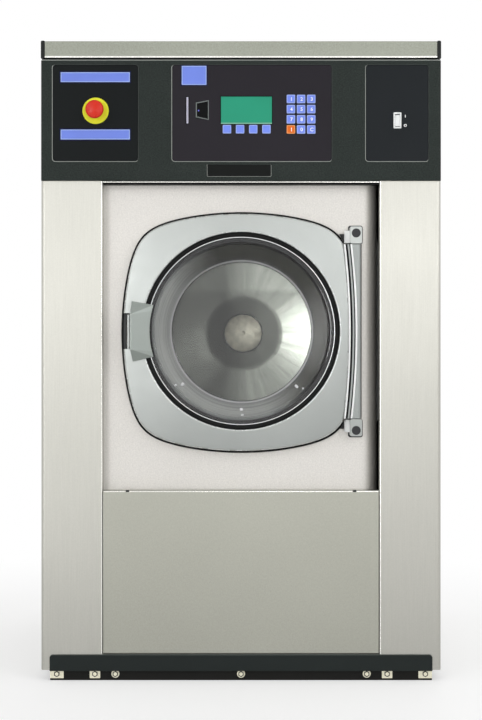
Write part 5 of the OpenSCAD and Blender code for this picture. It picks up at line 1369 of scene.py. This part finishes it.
def drum(m):
    """The drum: punched wall, rolled mouth, and a spun back with its hub cover."""
    bm = bmesh.new()
    y0, y1 = y_drum
    r, mouth = drum_r, drum_mouth_r
    lip = [(mouth, y0 + 1.5), (mouth, y0 - 1), (mouth + 2.5, y0 - 2.5), (mouth + 5, y0 - 1), (mouth + 6, y0)]
    wall = ([(r - 6, y0)] + arc((r - 6, y0 + 6), 6, -90, 0, 4) + [(r, y1 - 1), (r - 3, y1 - 1), (r - 3, y0 + 6)])
    inside = [(r - 8, y0 + 3), (mouth + 6, y0 + 3), (mouth, y0 + 1.5)]
    turn(bm, lip + wall + inside, (0, door_z), steps=144)
    finish("drum_wall", bm, "drum", [m["drum_steel"]], ("drum_shell",), smooth=40)
    bm = bmesh.new()
    dish = [(54, y1 - 3.6), (75, y1 - 4), (101, y1 - 4.6)]
    dish += [(x, y1 - 5 - 0.15 * (x - 103) - 0.00065 * (x - 103) ** 2) for x in (104, 114, 128, 144, 160, 174, 187)]
    back = [(0, y1), (r - 0.5, y1), (r - 0.5, y1 - 3), (r - 20, y1 - 5), (199, y1 - 6), (195, y1 - 9),
            (192, y1 - 22), (189.5, y1 - 23.6)]
    turn(bm, back + dish[::-1] + [(0, y1 - 3.5)], (0, door_z), steps=144)
    finish("drum_back", bm, "drum", [m["drum_back"]], smooth=40)
    bm = bmesh.new()
    turn(bm, [(51, y1 - 4), (51, y1 - 15)] + arc((47, y1 - 15), 4, 0, -80, 4)
         + [(30, y1 - 21), (12, y1 - 21.8), (0, y1 - 22)], (0, door_z))
    turn(bm, [(0, y1 - 21.6), (5, y1 - 21.6), (5, y1 - 24), (4, y1 - 25), (0, y1 - 25)], (0, door_z), steps=24)
    # The hub's rounded rim is polished and painted paler as a highlight
    paint(bm, 1, lambda c, n: 48 < from_axis(c) < 51.2 and c.y < y1 - 13)
    finish("hub_cover", bm, "drum", [m["hub_steel"], m["polished"]], smooth=40)


def inlets(m):
    """Water inlets: threaded brass spigots on a valve body, with the fill pipe."""
    bm = bmesh.new()
    for x in (-300, -240):
        profile = [(8, 504), (8.6, 505), (12.2, 505), (13.2, 504)]
        y = 503.4
        while y > 481:
            profile += [(13.2, y), (12.2, y - 0.9), (13.2, y - 1.8)]
            y -= 1.8
        profile += [(13.2, 480), (11.8, 479), (11.8, 476), (17, 476), (17, 468.6), (8, 468.6), (8, 504)]
        turn(bm, profile, (x, 1300), steps=48)
    finish("inlet_threads", bm, "cabinet", [m["brass"]])
    bm = bmesh.new()
    body = block(bm, (-320, -220), (407, 466.9), (1270, 1330))
    bevel(bm, edges_along(body, 1), 5, 3)
    turn(bm, [(0, 1020), (12.5, 1020), (12.5, 1300), (0, 1300)], (-270, 100), axis=2, steps=40)
    turn(bm, [(0, 100), (12.5, 100), (12.5, 410), (0, 410)], (-270, 1300), steps=40)
    bmesh.ops.create_uvsphere(bm, u_segments=24, v_segments=16, radius=12.5,
                              matrix=Matrix.Translation((-270, 100, 1300)))
    finish("inlet_valve", bm, "cabinet", [m["valve_plastic"]], ("water_inlets",), round_off=0.6)


def stays(m):
    """The CAD nodes that keep their own shape."""
    for node, material, edge in (
            ("base_frame", "black_paint", 0.6), ("control_board", "board_green", 0.2),
            ("door_lock", "lock_black", 0.8), ("lock_bolt", "bolt_steel", 0.4), ("door_boot", "boot_rubber", 0),
            ("damper_cylinders", "damper_black", 1), ("suspension_springs", "spring_steel", 0),
            ("drain_outlet", "drain_plastic", 0.8), ("electrical_box", "box_paint", 0.8),
            ("tub_shell", "tub_steel", 0), ("tub_cradle", "cradle_paint", 0.8),
            ("bearing_housing", "housing_iron", 1.2), ("motor", "motor_paint", 1.2),
            ("drive_belt", "belt_rubber", 0), ("drum_lifters", "drum_steel", 1.5),
            ("drum_shaft", "shaft_steel", 0.8), ("drum_pulley", "pulley_metal", 0.8),
            ("motor_pulley", "pulley_metal", 0.8)):
        dress(node, m[material], edge)


# Floor, light and camera

def looked_at(tree):
    """1 for rays that come from the camera, a reflection or through glass, 0 for light."""
    path = tree.nodes.new("ShaderNodeLightPath")
    seen = path.outputs["Is Camera Ray"]
    for ray in ("Is Glossy Ray", "Is Transmission Ray"):
        both = tree.nodes.new("ShaderNodeMath")
        both.operation = "MAXIMUM"
        tree.links.new(seen, both.inputs[0])
        tree.links.new(path.outputs[ray], both.inputs[1])
        seen = both.outputs[0]
    return seen


def joined(tree, kind, *sources):
    """A shader node with its first sockets linked to some sources, and its first output."""
    node = tree.nodes.new(kind)
    for socket, source in zip(node.inputs, sources):
        tree.links.new(source, socket)
    return node.outputs[0]


def white_light(tree, kind, strength):
    """A plain white background or emission."""
    node = tree.nodes.new(kind)
    node.inputs["Color"].default_value = (1, 1, 1, 1)
    node.inputs["Strength"].default_value = strength
    return node.outputs[0]


def backdrop():
    """The world: white to look at, and dimmer as a light."""
    world = bpy.data.worlds.new("studio")
    bpy.context.scene.world = world
    world.use_nodes = True
    tree = world.node_tree
    tree.nodes.remove(tree.nodes["Background"])
    dim = white_light(tree, "ShaderNodeBackground", 0.55)
    white = white_light(tree, "ShaderNodeBackground", 1.0)
    shown = joined(tree, "ShaderNodeMixShader", looked_at(tree), dim, white)
    tree.links.new(shown, tree.nodes["World Output"].inputs["Surface"])


def floor():
    """The floor: pale with the object's shadow on it, fading to plain white further out."""
    bm = bmesh.new()
    bmesh.ops.create_grid(bm, x_segments=2, y_segments=2, size=30)
    mesh = bpy.data.meshes.new("floor")
    bm.to_mesh(mesh)
    bm.free()
    placed("floor", mesh)
    pale = bpy.data.materials.new("floor")
    pale.use_nodes = True
    mesh.materials.append(pale)
    tree = pale.node_tree
    shader = tree.nodes["Principled BSDF"]
    shader.inputs["Base Color"].default_value = (0.6, 0.6, 0.6, 1)
    shader.inputs["Roughness"].default_value = 0.9
    surface = shader.outputs[0]
    lit = joined(tree, "ShaderNodeAddShader", surface, white_light(tree, "ShaderNodeEmission", 0.48))
    place = tree.nodes.new("ShaderNodeTexCoord")
    away = tree.nodes.new("ShaderNodeVectorMath")
    away.operation = "LENGTH"
    tree.links.new(place.outputs["Object"], away.inputs[0])
    fade = tree.nodes.new("ShaderNodeMapRange")
    fade.inputs["From Min"].default_value = 0.9
    fade.inputs["From Max"].default_value = 1.7
    tree.links.new(away.outputs["Value"], fade.inputs["Value"])
    glow = white_light(tree, "ShaderNodeEmission", 1.0)
    shown = joined(tree, "ShaderNodeMixShader", fade.outputs["Result"], lit, glow)
    shown = joined(tree, "ShaderNodeMixShader", looked_at(tree), surface, shown)
    tree.links.new(shown, tree.nodes["Material Output"].inputs["Surface"])


def lights():
    """Soft lamps round the object, each with its place, target, size, power and spread."""
    middle = (0, 0, 0.75)
    for name, place, target, size, power, spread in (
            ("key", (2.3, -3.1, 2.2), middle, (2.2, 2.2), 28, 180),
            ("fill", (-2.3, -3.2, 2.4), middle, (2.2, 2.2), 14, 180),
            ("window", (-1.5, -3.7, 0.8), (0.42, -0.1, 0.77), (1.1, 1.8), 1.8, 38),
            ("strip", (0.78, -4.2, 1.0), middle, (0.4, 0.8), 6.2, 180),
            ("back", (0.5, 3.4, 2.8), middle, (2.4, 2.4), 30, 180)):
        lamp = bpy.data.lights.new(name, "AREA")
        lamp.shape = "RECTANGLE"
        lamp.energy = power
        lamp.spread = math.radians(spread)
        lamp.size, lamp.size_y = size
        holder = placed(name, lamp)
        holder.location = place
        aim = Vector(target) - Vector(place)
        holder.rotation_euler = aim.to_track_quat("-Z", "Y").to_euler()


def camera():
    """A camera square to the front, as the photograph was taken."""
    data = bpy.data.cameras.new("camera")
    data.lens = 79.545
    data.sensor_width = 36
    data.shift_x = -0.01957
    data.shift_y = -0.01957
    holder = placed("camera", data)
    holder.location = (0.031, -3.96, 0.737)
    holder.rotation_euler = (math.pi / 2, 0, 0)
    bpy.context.scene.camera = holder


camera()
backdrop()
floor()
lights()
materials = make_materials()
for side in (-1, 1):
    side_panel(side, materials)
for piece in (rear_panel, lid, door_panel, lower_cover, plinth, console_housing, console_inserts,
              display, card_reader, stop_button, power_switch):
    piece(materials)
for key_name in key_middle:
    key(key_name, materials)
for piece in (door_frame, hinge_side, hinge_blocks, door_seals, door_glass, door_handle, drum, inlets, stays):
    piece(materials)

bpy.context.scene.view_settings.view_transform = "Standard"
